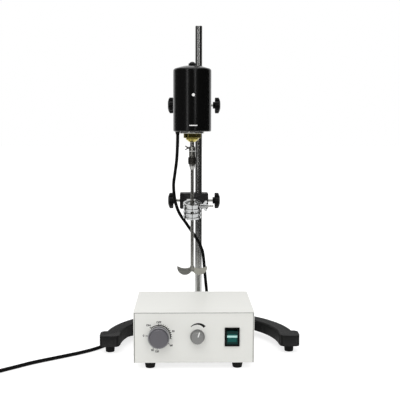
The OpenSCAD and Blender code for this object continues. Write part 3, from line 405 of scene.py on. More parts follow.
NODE_FINISHES: dict[Finish, tuple[str, ...]] = {
    Finishes.casting: ("stand_base",),
    Finishes.rubber: ("base_feet", "box_feet", "mains_gland", "lead_gland", "motor_gland",
                      "mains_coil"),
    Finishes.jacket: ("mains_cord", "motor_lead"),
    Finishes.boss: ("upper_boss", "lower_boss"),
    Finishes.shell: ("motor_shell", "motor_cap_nut"),
    Finishes.knob: ("upper_rod_knob", "upper_arm_knob", "lower_rod_knob", "lower_arm_knob"),
    Finishes.box: ("box_tray", "box_cover"),
    Finishes.chrome: ("stand_rod",),
    Finishes.steel: ("motor_shaft", "stirring_rod", "shaft_coupling", "chuck_body", "rod_nut",
                     "rotor_core"),
    Finishes.paddle: ("paddle",),
    Finishes.dark_steel: ("chuck_sleeve", "wing_screw", "motor_magnets"),
    Finishes.bright: ("upper_rod_screw", "upper_arm_screw", "lower_rod_screw", "lower_arm_screw",
                      "motor_arm", "clamp_rod", "jaw_pins", "jaw_screw", "cover_screws",
                      "motor_bearings", "chuck_jaws"),
    Finishes.zinc: ("clamp_yoke", "left_jaw", "right_jaw", "wing_nut"),
    Finishes.brass: ("bearing_nut",),
    Finishes.alloy: ("motor_end_plate",),
    Finishes.timer_grey: ("timer_knob",),
    Finishes.speed_grey: ("speed_knob",),
    Finishes.bezel: ("switch_body", "fuse_holder", "fuse_cap", "mains_plug"),
    Finishes.green: ("rocker",),
    Finishes.copper: ("rotor_winding",),
    Finishes.laminate: ("control_board",),
    Finishes.pale_plastic: ("timer_unit", "speed_control", "board_parts"),
    Finishes.brown_plastic: ("brush_gear",),
}


def dress(piece: bpy.types.Object, finish: Finish) -> bpy.types.Object:
    """Gives a piece one finish.

    Args:
        piece: The piece.
        finish: Its finish.

    Returns:
        The piece.
    """
    piece.data.materials.clear()
    piece.data.materials.append(finish.material())
    return piece


def dress_nodes(frame: dict) -> None:
    """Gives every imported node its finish.
    """
    for finish, nodes in NODE_FINISHES.items():
        for node in nodes:
            dress(frame["nodes"][node], finish)
            LOG.info("dressed %s in %s", node, finish.name)


def finish_of(node: str) -> Finish:
    """Looks a node's finish up.

    Args:
        node: The node.

    Returns:
        Its finish.
    """
    return next(finish for finish, nodes in NODE_FINISHES.items() if node in nodes)


def smooth_route(points: Sequence[Point], steps: int) -> list[Vector]:
    """Draws a smooth line through the points of a route.

    Args:
        points: The route in millimetres.
        steps: Steps between two points.

    Returns:
        The line in metres.
    """
    route = [Vector(point) * MM for point in points]
    line = []
    for i in range(len(route) - 1):
        a, b, c, d = (route[max(i - 1, 0)], route[i], route[i + 1],
                      route[min(i + 2, len(route) - 1)])
        for step in range(steps):
            t = step / steps
            line.append(0.5 * (2 * b + (c - a) * t + (2 * a - 5 * b + 4 * c - d) * t * t
                               + (3 * b - a - 3 * c + d) * t ** 3))
    line.append(route[-1])
    return line


def length_of(line: list[Vector]) -> float:
    """Measures a line.

    Args:
        line: Its points in metres.

    Returns:
        Its length in metres.
    """
    return sum((b - a).length for a, b in zip(line, line[1:]))


def tube_along(name: str, line: list[Vector], radius: float,
               sides: int) -> bpy.types.Object:
    """Sweeps a round tube with closed ends along a line.

    Args:
        name: Name of the piece.
        line: The line in metres.
        radius: Radius of the tube.
        sides: Sides of its section.

    Returns:
        The tube.
    """
    headings = [(line[min(i + 1, len(line) - 1)] - line[max(i - 1, 0)]).normalized()
                for i in range(len(line))]
    across = headings[0].orthogonal().normalized()
    corners, faces = [], []
    for point, heading in zip(line, headings):
        across = (across - heading * across.dot(heading)).normalized()
        beside = heading.cross(across)
        for side in range(sides):
            angle = math.tau * side / sides
            corners.append(point + radius * (math.cos(angle) * across + math.sin(angle) * beside))
    for ring in range(len(line) - 1):
        for side in range(sides):
            after = (side + 1) % sides
            faces.append((ring * sides + side, ring * sides + after,
                          (ring + 1) * sides + after, (ring + 1) * sides + side))
    faces.append(tuple(reversed(range(sides))))
    faces.append(tuple((len(line) - 1) * sides + side for side in range(sides)))
    mesh = bpy.data.meshes.new(name)
    mesh.from_pydata(corners, [], faces)
    for polygon in mesh.polygons:
        polygon.use_smooth = len(polygon.vertices) == 4
    piece = bpy.data.objects.new(name, mesh)
    bpy.context.scene.collection.objects.link(piece)
    return piece


def deselect() -> None:
    """Leaves nothing selected, so that the next operator acts on its own piece only."""
    if bpy.context.mode != "OBJECT":
        bpy.ops.object.mode_set(mode="OBJECT")
    bpy.ops.object.select_all(action="DESELECT")


def take(piece: bpy.types.Object) -> None:
    """Selects one piece alone and makes it active.

    Args:
        piece: The piece.
    """
    deselect()
    piece.select_set(True)
    bpy.context.view_layer.objects.active = piece


def edit_all(operator: Callable, **values: object) -> None:
    """Runs one mesh operator on the whole of the active piece.

    Args:
        operator: The operator.
        **values: Its settings.
    """
    bpy.ops.object.mode_set(mode="EDIT")
    bpy.ops.mesh.select_all(action="SELECT")
    operator(**values)
    bpy.ops.object.mode_set(mode="OBJECT")


def settle(piece: bpy.types.Object, name: str) -> bpy.types.Object:
    """Names a piece and moves its place into its mesh.

    Args:
        piece: The piece.
        name: Its name.

    Returns:
        The piece.
    """
    take(piece)
    bpy.ops.object.transform_apply(location=True, rotation=True, scale=True)
    piece.name = name
    return piece


def modify(piece: bpy.types.Object, kind: str, **values: object) -> None:
    """Adds one modifier and applies it.

    Args:
        piece: The piece.
        kind: The modifier's type, such as "BEVEL".
        **values: Its settings.
    """
    take(piece)
    made = piece.modifiers.new(kind.lower(), kind)
    for key, value in values.items():
        setattr(made, key, value)
    bpy.ops.object.modifier_apply(modifier=made.name)


def smooth_edges(piece: bpy.types.Object, angle: float = 35.0) -> None:
    """Shades a piece smooth, but for its sharp edges.

    Args:
        piece: The piece.
        angle: Edges sharper than this many degrees stay sharp.
    """
    take(piece)
    bpy.ops.object.shade_smooth_by_angle(angle=math.radians(angle))


def join(pieces: list[bpy.types.Object], name: str) -> bpy.types.Object:
    """Joins pieces to one mesh.

    Args:
        pieces: The pieces, each with its own mesh.
        name: Name of the joined piece.

    Returns:
        The joined piece.
    """
    take(pieces[0])
    for piece in pieces[1:]:
        piece.select_set(True)
    bpy.ops.object.join()
    joined = bpy.context.object
    joined.name = name
    return joined


def ring(name: str, place: Point, radii: tuple[float, float], steps: int, smooth: float,
         tilt: float = 0.0) -> bpy.types.Object:
    """Makes a round ring, in millimetres.

    Args:
        name: Its name.
        place: Its middle.
        radii: Radius of its middle line, and half its thickness.
        steps: Steps round it.
        smooth: Edges sharper than this many degrees stay sharp in the shading.
        tilt: How far it is turned about X, in radians.

    Returns:
        The ring.
    """
    deselect()
    bpy.ops.mesh.primitive_torus_add(major_segments=steps, minor_segments=12,
                                     major_radius=radii[0] * MM, minor_radius=radii[1] * MM,
                                     rotation=(tilt, 0, 0), location=[at * MM for at in place])
    piece = settle(bpy.context.object, name)
    smooth_edges(piece, smooth)
    return piece


def bar(name: str, place: Point, size: Point, turn: float = 0.0) -> bpy.types.Object:
    """Makes a plain bar, in millimetres.

    Args:
        name: Its name.
        place: Its middle.
        size: Its size.
        turn: How far it is turned about Y, in radians.

    Returns:
        The bar.
    """
    deselect()
    bpy.ops.mesh.primitive_cube_add(size=1, location=[at * MM for at in place],
                                    rotation=(0, turn, 0))
    piece = bpy.context.object
    piece.scale = [side * MM for side in size]
    return settle(piece, name)


class Model:
    """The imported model: its nodes, and the body on which each one rides."""

    def __init__(self, frame: dict) -> None:
        """Notes the body of each node.
        """
        self.nodes = frame["nodes"]
        self.body_of = {node: body for body, nodes in frame["record"]["behaviour"]["bodies"].items()
                        for node in nodes}

    def copy(self, node: str, name: str) -> bpy.types.Object:
        """Copies a node's mesh, with its corners merged and its flat faces whole.

        Args:
            node: The node.
            name: Name of the copy.

        Returns:
            The copy.
        """
        deselect()
        piece = bpy.data.objects.new(name, self.nodes[node].data.copy())
        bpy.context.scene.collection.objects.link(piece)
        take(piece)
        bpy.ops.object.mode_set(mode="EDIT")
        bpy.ops.mesh.select_all(action="SELECT")
        bpy.ops.mesh.remove_doubles(threshold=MERGE_DISTANCE)
        bpy.ops.mesh.dissolve_limited(angle_limit=FLAT_ANGLE)
        bpy.ops.object.mode_set(mode="OBJECT")
        return piece

    def place(self, piece: bpy.types.Object, node: str, finish: Finish,
              replaces: bool = False) -> bpy.types.Object:
        """Dresses a piece and lets it ride where a node rides.

        Args:
            piece: The piece.
            node: The node that it belongs to.
            finish: Its finish.
            replaces: Whether the piece stands for the node.

        Returns:
            The piece.
        """
        dress(piece, finish)
        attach(piece, self.body_of[node])
        if replaces:
            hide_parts(node)
        LOG.info("made %s", piece.name)
        return piece

    def soften(self, node: str, width: float, segments: int = 2, angle: float = 32.0,
               smooth: float = 35.0) -> bpy.types.Object:
        """Stands a copy with rounded edges in for a node.

        Args:
            node: The node.
            width: Width of the rounding, in millimetres.
            segments: Steps of the rounding.
            angle: Edges sharper than this many degrees are rounded.
            smooth: Edges sharper than this many degrees stay sharp in the shading.

        Returns:
            The copy.
        """
        piece = self.copy(node, node + "_finished")
        if width > 0:
            modify(piece, "BEVEL", width=width * MM, segments=segments, limit_method="ANGLE",
                   angle_limit=math.radians(angle), miter_outer="MITER_ARC")
        smooth_edges(piece, smooth)
        modify(piece, "WEIGHTED_NORMAL", keep_sharp=True, weight=100)
        return self.place(piece, node, finish_of(node), replaces=True)

    def soften_all(self, edges: Edges) -> None:
        """Stands rounded copies in for several nodes.

        Args:
            edges: Each node with the width of its rounding, in millimetres.
        """
        for node, width in edges:
            self.soften(node, width)


@dataclass
class Stand:
    """The horseshoe base with its feet and the plated pole."""

    casting_edge: float = 1.6
    edges: Edges = (("base_feet", 0.8), ("stand_rod", 0.8), ("rod_nut", 0.3))

    def build(self, model: Model) -> None:
        """Rounds the casting, the rubber feet and the ends of the pole.

        Args:
            model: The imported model.
        """
        model.soften("stand_base", self.casting_edge, segments=3, angle=28)
        model.soften_all(self.edges)


@dataclass
class BossHeads:
    """The two boss heads with their star knobs."""

    boss_edge: float = 1.1
    knob_edge: float = 0.5
    screw_edge: float = 0.3

    def build(self, model: Model) -> None:
        """Rounds the cast blocks and the moulded knobs.

        Args:
            model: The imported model.
        """
        for level in ("upper", "lower"):
            model.soften(level + "_boss", self.boss_edge)
            for side in ("rod", "arm"):
                model.soften(f"{level}_{side}_knob", self.knob_edge, angle=40, smooth=45)
                model.soften(f"{level}_{side}_screw", self.screw_edge)


@dataclass
class MotorHead:
    """The motor: its enamelled shell, nuts, end plate, arm and the two white marks."""

    edges: Edges = (("motor_shell", 0.0), ("motor_cap_nut", 0.4), ("motor_end_plate", 0.4),
                    ("bearing_nut", 0.5), ("motor_gland", 0.3), ("motor_arm", 0.5))
    shell_radius: float = 35.5
    skin: float = 0.12
    dot: tuple[float, float, float] = (-11.7, 470.0, 5.6)
    dash: tuple[float, float, float, float] = (-11.9, 414.6, 14.6, 1.8)

    def wrap(self, piece: bpy.types.Object) -> None:
        """Lays a flat mark round the shell and gives it a skin's thickness.

        Args:
            piece: The mark, modelled upright in the plane of the shaft.
        """
        for corner in piece.data.vertices:
            across = corner.co.x / MM - SHAFT_AXIS[0]
            depth = math.sqrt(self.shell_radius ** 2 - across ** 2)
            corner.co.y = (SHAFT_AXIS[1] - depth) * MM
        modify(piece, "SOLIDIFY", thickness=self.skin * MM, offset=1.0)
        smooth_edges(piece, 30)

    def white_dot(self) -> bpy.types.Object:
        """Makes the round mark on the shell.

        Returns:
            The mark.
        """
        deselect()
        bpy.ops.mesh.primitive_circle_add(vertices=40, radius=self.dot[2] / 2 * MM,
                                          fill_type="TRIFAN", rotation=(math.pi / 2, 0, 0),
                                          location=(self.dot[0] * MM, 0, self.dot[1] * MM))
        piece = settle(bpy.context.object, "shell_dot")
        self.wrap(piece)
        return piece

    def white_dash(self) -> bpy.types.Object:
        """Makes the short bar near the shell's lower rim.

        Returns:
            The mark.
        """
        deselect()
        bpy.ops.mesh.primitive_grid_add(x_subdivisions=16, y_subdivisions=2, size=1,
                                        rotation=(math.pi / 2, 0, 0),
                                        location=(self.dash[0] * MM, 0, self.dash[1] * MM))
        piece = bpy.context.object
        piece.scale = (self.dash[2] * MM, self.dash[3] * MM, 1)
        settle(piece, "shell_dash")
        self.wrap(piece)
        return piece

    def build(self, model: Model) -> None:
        """Rounds the motor's pieces and adds the marks.

        Args:
            model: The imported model.
        """
        model.soften_all(self.edges)
        model.place(self.white_dot(), "motor_shell", Finishes.white)
        model.place(self.white_dash(), "motor_shell", Finishes.white)


@dataclass
class ChuckAndShaft:
    """The coupling, the chuck with its knurled sleeve, the shaft and the paddle."""

    chuck_edges: Edges = (("motor_shaft", 0.3), ("shaft_coupling", 0.35), ("wing_screw", 0.3),
                          ("chuck_body", 0.2), ("chuck_sleeve", 0.3))
    shaft_edges: Edges = (("chuck_jaws", 0.15), ("stirring_rod", 0.3), ("paddle", 0.5))
    sleeve: tuple[float, float, float] = (7.46, 343.4, 353.9)
    knurl_foot: float = 0.06
    knurl_height: float = 0.34
    knurls: int = 30
    knurl_steps: tuple[int, int] = (240, 26)
    knurl_fade: float = 8.0
    band_seam: float = 0.003
    band_thickness: float = 0.3
    ring_height: float = 366.8
    ring_radii: tuple[float, float] = (6.6, 0.6)

    def knurled_band(self) -> bpy.types.Object:
        """Rolls a band with a diamond knurl round the chuck's sleeve.

        Returns:
            The band.
        """
        radius, low, high = self.sleeve
        deselect()
        bpy.ops.mesh.primitive_grid_add(x_subdivisions=self.knurl_steps[0],
                                        y_subdivisions=self.knurl_steps[1], size=1)
        piece = bpy.context.object
        for corner in piece.data.vertices:
            turn = (corner.co.x + 0.5) * math.tau
            rise = corner.co.y + 0.5
            up = rise * (high - low)
            lead = up / radius
            crest = abs(math.sin((turn + lead) * self.knurls / 2)
                        * math.sin((turn - lead) * self.knurls / 2))
            edge = min(1.0, self.knurl_fade * rise, self.knurl_fade * (1 - rise))
            out = radius + (self.knurl_foot + self.knurl_height * crest) * edge
            corner.co = Vector((SHAFT_AXIS[0] + out * math.cos(turn),
                                SHAFT_AXIS[1] + out * math.sin(turn), low + up)) * MM
        settle(piece, "sleeve_knurl")
        edit_all(bpy.ops.mesh.remove_doubles, threshold=self.band_seam * MM)
        modify(piece, "SOLIDIFY", thickness=self.band_thickness * MM, offset=-1.0)
        smooth_edges(piece, 50)
        return piece

    def build(self, model: Model) -> None:
        """Rounds the turned pieces and adds the knurl and the ring.

        Args:
            model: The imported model.
        """
        model.soften_all(self.chuck_edges)
        model.place(self.knurled_band(), "chuck_sleeve", Finishes.dark_steel)
        model.place(ring("coupling_ring", (*SHAFT_AXIS, self.ring_height), self.ring_radii, 72, 60),
                    "shaft_coupling", Finishes.white_metal)
        model.soften_all(self.shaft_edges)


@dataclass
class FlaskClamp:
    """The flask clamp: rod, yoke, two channel jaws, screw and wing nut."""

    edges: Edges = (("clamp_rod", 0.5), ("clamp_yoke", 0.5), ("jaw_pins", 0.2),
                    ("left_jaw", 0.5), ("right_jaw", 0.5), ("jaw_screw", 0.3),
                    ("wing_nut", 0.5))

    def build(self, model: Model) -> None:
        """Rounds the pressed and cast pieces.

        Args:
            model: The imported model.
        """
        model.soften_all(self.edges)


@dataclass
class PanelPrint:
    """The printed scales on the box's front: a dial ring with numbers and a speed wedge."""

    ink_depth: float = 0.1
    dial_radius: float = 19.6
    dial_ends: tuple[float, float] = (-42, 100)
    dial_widths: tuple[float, float] = (1.4, 1.8)
    wedge: tuple[float, float] = (-5.25, 64.1)
    wedge_radius: tuple[float, float] = (15.6, 15.1)
    wedge_ends: tuple[float, float] = (-50, 49)
    wedge_widths: tuple[float, float] = (1.0, 4.6)
    strokes: tuple[tuple[tuple[int, ...], tuple[float, float, float]], ...] = (
        (tuple(range(0, 101, 10)), (2.9, 1.05, 0.0)),
        ((-42, 69, 126, 188, 205, 274), (3.8, 1.2, -0.8)), ((0,), (3.4, 1.3, -0.4)))
    figures: tuple[tuple[str, float, float], ...] = (
        ("30", 69.0, 6.4), ("60", 126.0, 6.4), ("90", 205.0, 6.4), ("120", 188.0, 6.4),
        ("0", 274.0, 6.4), ("OFF", 0, 5.2), ("ON", -42, 7.0))
    figure_height: float = 4.8
    figure_weight: float = 0.16

    def spot(self, centre: tuple[float, float], radius: float, turn: float) -> Vector:
        """Finds a point on the panel by its clock angle.

        Args:
            centre: The dial's middle, across and up, in millimetres.
            radius: Distance from it.
            turn: Degrees clockwise from the top.

        Returns:
            The point in metres.
        """
        angle = math.radians(turn)
        return Vector((centre[0] + radius * math.sin(angle), PANEL_FACE,
                       centre[1] + radius * math.cos(angle))) * MM

    def arc(self, name: str, centre: tuple[float, float], radius: tuple[float, float],
            ends: tuple[float, float], widths: tuple[float, float]) -> bpy.types.Object:
        """Prints an arc whose width changes from one end to the other.

        Args:
            name: Name of the mark.
            centre: Middle of the arc.
            radius: Radius of the arc's middle line at both ends.
            ends: Clock angles of both ends in degrees.
            widths: Width at both ends.

        Returns:
            The arc.
        """
        deselect()
        bpy.ops.mesh.primitive_grid_add(x_subdivisions=48, y_subdivisions=1, size=1)
        piece = bpy.context.object
        for corner in piece.data.vertices:
            share = corner.co.x + 0.5
            turn = ends[0] + (ends[1] - ends[0]) * share
            width = widths[0] + (widths[1] - widths[0]) * share
            middle = radius[0] + (radius[1] - radius[0]) * share
            corner.co = self.spot(centre, middle + corner.co.y * width, turn)
        return settle(piece, name)

    def tick(self, turn: float, length: float, width: float, inner: float) -> bpy.types.Object:
        """Prints one stroke of the dial.

        Args:
            turn: Clock angle in degrees.
            length: Its length.
            width: Its width.
            inner: Radius of its inner end.

        Returns:
            The stroke.
        """
        deselect()
        bpy.ops.mesh.primitive_plane_add(size=1, rotation=(math.pi / 2, math.radians(turn), 0),
                                         location=self.spot(TIMER_CENTRE, inner + length / 2, turn))
        piece = bpy.context.object
        piece.scale = (width * MM, length * MM, 1)
        return settle(piece, "stroke")

    def figure(self, text: str, turn: float, radius: float) -> bpy.types.Object:
        """Prints one generic word or number of the dial.

        Args:
            text: The number or the word.
            turn: Clock angle in degrees.
            radius: Distance from the dial's middle.

        Returns:
            The printed mesh.
        """
        deselect()
        bpy.ops.object.text_add(location=self.spot(TIMER_CENTRE, radius, turn),
                                rotation=(math.pi / 2, 0, 0))
        piece = bpy.context.object
        piece.data.body = text
        piece.data.align_x = "CENTER"
        piece.data.align_y = "CENTER"
        piece.data.size = self.figure_height * MM
        piece.data.resolution_u = 3
        piece.data.offset = self.figure_weight * MM
        bpy.ops.object.convert(target="MESH")
        return settle(bpy.context.object, "figure")

    def build(self, model: Model) -> None:
        """Prints every mark and joins them to one skin of ink.

        Args:
            model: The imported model.
        """
        marks = [self.arc("dial_arc", TIMER_CENTRE, (self.dial_radius, self.dial_radius),
                          self.dial_ends, self.dial_widths),
                 self.arc("speed_wedge", self.wedge, self.wedge_radius, self.wedge_ends,
                          self.wedge_widths)]
        marks += [self.tick(turn, length, width, self.dial_radius + shift)
                  for turns, (length, width, shift) in self.strokes for turn in turns]
        marks += [self.figure(text, turn, self.dial_radius + outward)
                  for text, turn, outward in self.figures]
        printed = join(marks, "panel_print")
        modify(printed, "SOLIDIFY", thickness=self.ink_depth * MM, offset=0.0)
        model.place(printed, "box_tray", Finishes.ink)


@dataclass
class ControlBox:
    """The control box: folded sheets, feet, dials, switch, fuse holder and cord reliefs, with a
    painted highlight on the timer knob, painted glow on the rocker and a painted shadow under the
    cover's lip.
    """

    sheet_edges: Edges = (("box_tray", 0.45), ("box_cover", 0.45), ("box_feet", 0.8),
                          ("cover_screws", 0.15))
    knob_edges: Edges = (("timer_knob", 0.5), ("speed_knob", 0.4))
    fitting_edges: Edges = (("switch_body", 0.35), ("rocker", 0.4), ("fuse_holder", 0.3),
                            ("fuse_cap", 0.4), ("mains_gland", 0.4), ("lead_gland", 0.4))
    # Depth and size of the pale ring that paints the highlight on the timer knob's skirt bevel.
    highlight_depth: float = -147.0
    highlight_radii: tuple[float, float] = (17.5, 0.95)
    speed_centre: tuple[float, float] = (-6.0, 57.5)
    speed_face: float = -151.5
    pointer: tuple[float, float, float, float] = (17.0, 2.6, 11.4, 1.9)
    pointer_depth: float = 0.3
    pointer_edge: float = 0.1
    rocker_middle: float = 52.9
    # The rocker's painted glow band and its painted halo: half width, lower and upper edge, and how
    # far each stands out.
    glow_band: tuple[float, float, float] = (8.6, 56.2, 60.0)
    glow_band_height: float = 0.25
    halo: tuple[float, float, float] = (7.6, 48.6, 62.6)
    halo_height: float = 0.12
    band_depth: float = 5.0
    facing_front: float = -0.5
    panel: tuple[float, float, float, float] = (-113.25, 89.25, 12.6, 98.75)
    # Width, depth and rounding of the painted shadow under the cover's lip.
    shadow_width: float = 0.8
    shadow_depth: float = 0.12
    shadow_edge: float = 0.03

    def band(self, model: Model, name: str, edges: tuple[float, float, float],
             proud: float) -> bpy.types.Object:
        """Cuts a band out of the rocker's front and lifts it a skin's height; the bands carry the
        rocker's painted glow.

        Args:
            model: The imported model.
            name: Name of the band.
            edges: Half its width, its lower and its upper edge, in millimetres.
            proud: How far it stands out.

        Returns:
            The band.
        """
        piece = model.copy("rocker", name)
        half, low, high = edges
        for spot, normal in (((self.rocker_middle - half, 0, 0), (-1, 0, 0)),
                             ((self.rocker_middle + half, 0, 0), (1, 0, 0)),
                             ((0, 0, low), (0, 0, -1)), ((0, 0, high), (0, 0, 1))):
            edit_all(bpy.ops.mesh.bisect, plane_co=Vector(spot) * MM, plane_no=normal,
                     clear_outer=True)
        front = min(corner.co.y for corner in piece.data.vertices)
        bpy.ops.object.mode_set(mode="EDIT")
        bpy.ops.mesh.select_mode(type="FACE")
        bpy.ops.mesh.select_all(action="DESELECT")
        bpy.ops.object.mode_set(mode="OBJECT")
        for face in piece.data.polygons:
            face.select = (face.normal.y > self.facing_front
                           or face.center.y > front + self.band_depth * MM)
        bpy.ops.object.mode_set(mode="EDIT")
        bpy.ops.mesh.delete(type="FACE")
        bpy.ops.object.mode_set(mode="OBJECT")
        modify(piece, "SOLIDIFY", thickness=proud * MM, offset=1.0)
        smooth_edges(piece, 40)
        return piece

    def knob_pointer(self) -> bpy.types.Object:
        """Makes the white pointer inlaid in the speed knob's face.

        Returns:
            The pointer.
        """
        turn, inner, outer, width = self.pointer
        angle = math.radians(turn)
        middle = (inner + outer) / 2
        piece = bar("speed_pointer", (self.speed_centre[0] + middle * math.sin(angle),
                                      self.speed_face,
                                      self.speed_centre[1] + middle * math.cos(angle)),
                    (width, self.pointer_depth, outer - inner), angle)
        modify(piece, "BEVEL", width=self.pointer_edge * MM, segments=2)
        smooth_edges(piece, 30)
        return piece

    def lip_shadow(self) -> bpy.types.Object:
        """Draws a painted shadow: a dark line under the cover's lip round the front panel, on three
        sides.

        Returns:
            The painted shadow.
        """
        left, right, foot, top = self.panel
        wide = self.shadow_width
        strips = []
        for low, high in (((left, foot), (left + wide, top)), ((right - wide, foot), (right, top)),
                          ((left + wide, top - wide), (right - wide, top))):
            strips.append(bar("lip_shadow_strip", ((low[0] + high[0]) / 2, PANEL_FACE,
                                             (low[1] + high[1]) / 2),
                              (high[0] - low[0], self.shadow_depth, high[1] - low[1])))
        joined = join(strips, "panel_lip_shadow")
        modify(joined, "BEVEL", width=self.shadow_edge * MM, segments=1)
        return joined

    def build(self, model: Model) -> None:
        """Makes the box's pieces.

        Args:
            model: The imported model.
        """
        model.soften_all(self.sheet_edges)
        for knob, width in self.knob_edges:
            model.soften(knob, width, angle=30, smooth=30)
        model.soften_all(self.fitting_edges)
        model.place(self.knob_pointer(), "speed_knob", Finishes.white)
        # A pale ring round the timer knob's skirt is a painted highlight on its bevel.
        model.place(ring("timer_rim_highlight", (TIMER_CENTRE[0], self.highlight_depth, TIMER_CENTRE[1]),
                         self.highlight_radii, 96, 40, math.pi / 2), "timer_knob", Finishes.timer_rim_highlight)
        # Two lighter bands on the rocker's front paint the glow of the lit switch.
        model.place(self.band(model, "rocker_halo", self.halo, self.halo_height), "rocker",
                    Finishes.glow)
        model.place(self.band(model, "rocker_painted_glow", self.glow_band, self.glow_band_height), "rocker",
                    Finishes.painted_glow)
        # A dark line round the front panel is a painted shadow under the cover's lip.
        model.place(self.lip_shadow(), "box_tray", Finishes.lip_shadow)
        PanelPrint().build(model)


@dataclass
class MotorLead:
    """The lead that hangs from the motor to the back of the control box."""

    diameter: float = 6 * MM
    sides: int = 24
    steps: int = 12
    route: tuple[Point, ...] = (
        (-40.8, 27.5, 398.4), (-40.8, 27.5, 390), (-41.4, 32, 373), (-43, 43.5, 348),
        (-46.5, 57.5, 322), (-49, 65.5, 303), (-48.5, 68.5, 285), (-46, 69, 268),
        (-41.5, 69, 252.5), (-34.5, 69, 238.5), (-25.5, 69, 226), (-1.5, 69, 190),
        (4.5, 69, 177), (8.5, 69, 162), (13, 71.5, 115), (15, 73, 95), (16, 73, 80),
        (16, 68.5, 65), (16, 60, 55.5), (16, 50, 50.9), (16, 40.6, 50))
    joins: tuple[int, int] = (3, 9)

    def build(self) -> None:
        """Makes the three stretches of the lead, cut at two points of its route."""
        line = smooth_route(self.route, self.steps)
        first, second = (join * self.steps for join in self.joins)
        stretches = [("motor_lead_top", line[:first + 1], "motor_head", "upper_head"),
                     ("motor_lead_middle", line[first:second + 1], "upper_head", "pole"),
                     ("motor_lead_foot", line[second:], "pole", "stand")]
        for name, part, above, below in stretches:
            piece = tube_along(name, part, self.diameter / 2, self.sides)
            dress(piece, Finishes.jacket)
            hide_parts("motor_lead")
            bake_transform(piece)
            LOG.info("laid %s, %.3f m", name, length_of(part))


@dataclass
class MainsCord:
    """The mains cord, with its unseen length in a round coil and its plug."""

    diameter: float = 6.5 * MM
    sides: int = 20
    steps: int = 6
    coil_at: tuple[float, float] = (-402.0, -157.0)
    coil_radius: float = 33.0
    first_angle: float = -52.0
    turned: int = 1568
    turned_step: int = 14
    stations: tuple[tuple[int, float, float], ...] = (
        (0, 1, 0), (210, 1, 0), (330, -1, 0), (540, -1, 0), (660, -1, 1), (900, -1, 1),
        (1020, -1, 2), (1150, -1, 2), (1270, 1, 2), (1390, 1, 1), (1508, 1, 1), (1568, 1, 1.15))
    plug_edge: float = 0.8
    plug_end: tuple[Point, ...] = ((-438.25, -149, 11), (-438.25, -139, 11))
    route: tuple[Point, ...] = (
        (-32, 44.6, 36), (-32, 49, 36), (-34, 60, 34), (-42, 74, 29), (-56, 83, 21),
        (-72, 84.5, 12.5), (-88, 85.5, 6.5), (-104, 84, 3.25), (-132, 71.5, 3.25),
        (-144, 57, 3.25), (-154, 37, 3.25), (-165, 16, 3.25), (-179, -7, 3.25),
        (-196, -29, 3.25), (-217, -49, 3.25), (-241, -67.5, 3.25), (-290, -104, 3.25),
        (-313, -125.5, 3.25), (-357, -167, 3.25))

    def coil(self) -> list[Point]:
        """Winds the coil, turn beside turn and layer on layer.

        Returns:
            Its points in millimetres.
        """
        thick = self.diameter / MM
        points = []
        for turned in range(0, self.turned + 1, self.turned_step):
            after = next(i for i in range(1, len(self.stations)) if turned <= self.stations[i][0])
            (start, side, layer), (end, next_side, next_layer) = self.stations[after - 1:after + 1]
            share = (turned - start) / (end - start)
            share = share * share * (3 - 2 * share)
            side += (next_side - side) * share
            layer += (next_layer - layer) * share
            angle = math.radians(self.first_angle - turned)
            radius = self.coil_radius + side * thick / 2
            points.append((self.coil_at[0] + radius * math.cos(angle),
                           self.coil_at[1] + radius * math.sin(angle), thick * (layer + 0.5)))
        return points

    def build(self, model: Model) -> None:
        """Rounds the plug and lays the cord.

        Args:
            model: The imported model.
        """
        plug = model.soften("mains_plug", self.plug_edge)
        line = smooth_route((*self.route, *self.coil(), *self.plug_end), self.steps)
        piece = tube_along("mains_cord_run", line, self.diameter / 2, self.sides)
        dress(piece, Finishes.jacket)
        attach(piece, "stand")
        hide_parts("mains_cord", "mains_coil")
        LOG.info("laid mains_cord_run, %.3f m", length_of(line))


@dataclass(frozen=True)
class Strip:
    """One tall soft lamp: degrees right of the camera, height, width and length, watts.

    It faces the middle axis at the share aim of its height.
    """

    name: str
    azimuth: float
    height: float
    size: tuple[float, float]
    power: float
    distance: float = 1.1
    aim: float = 0.7


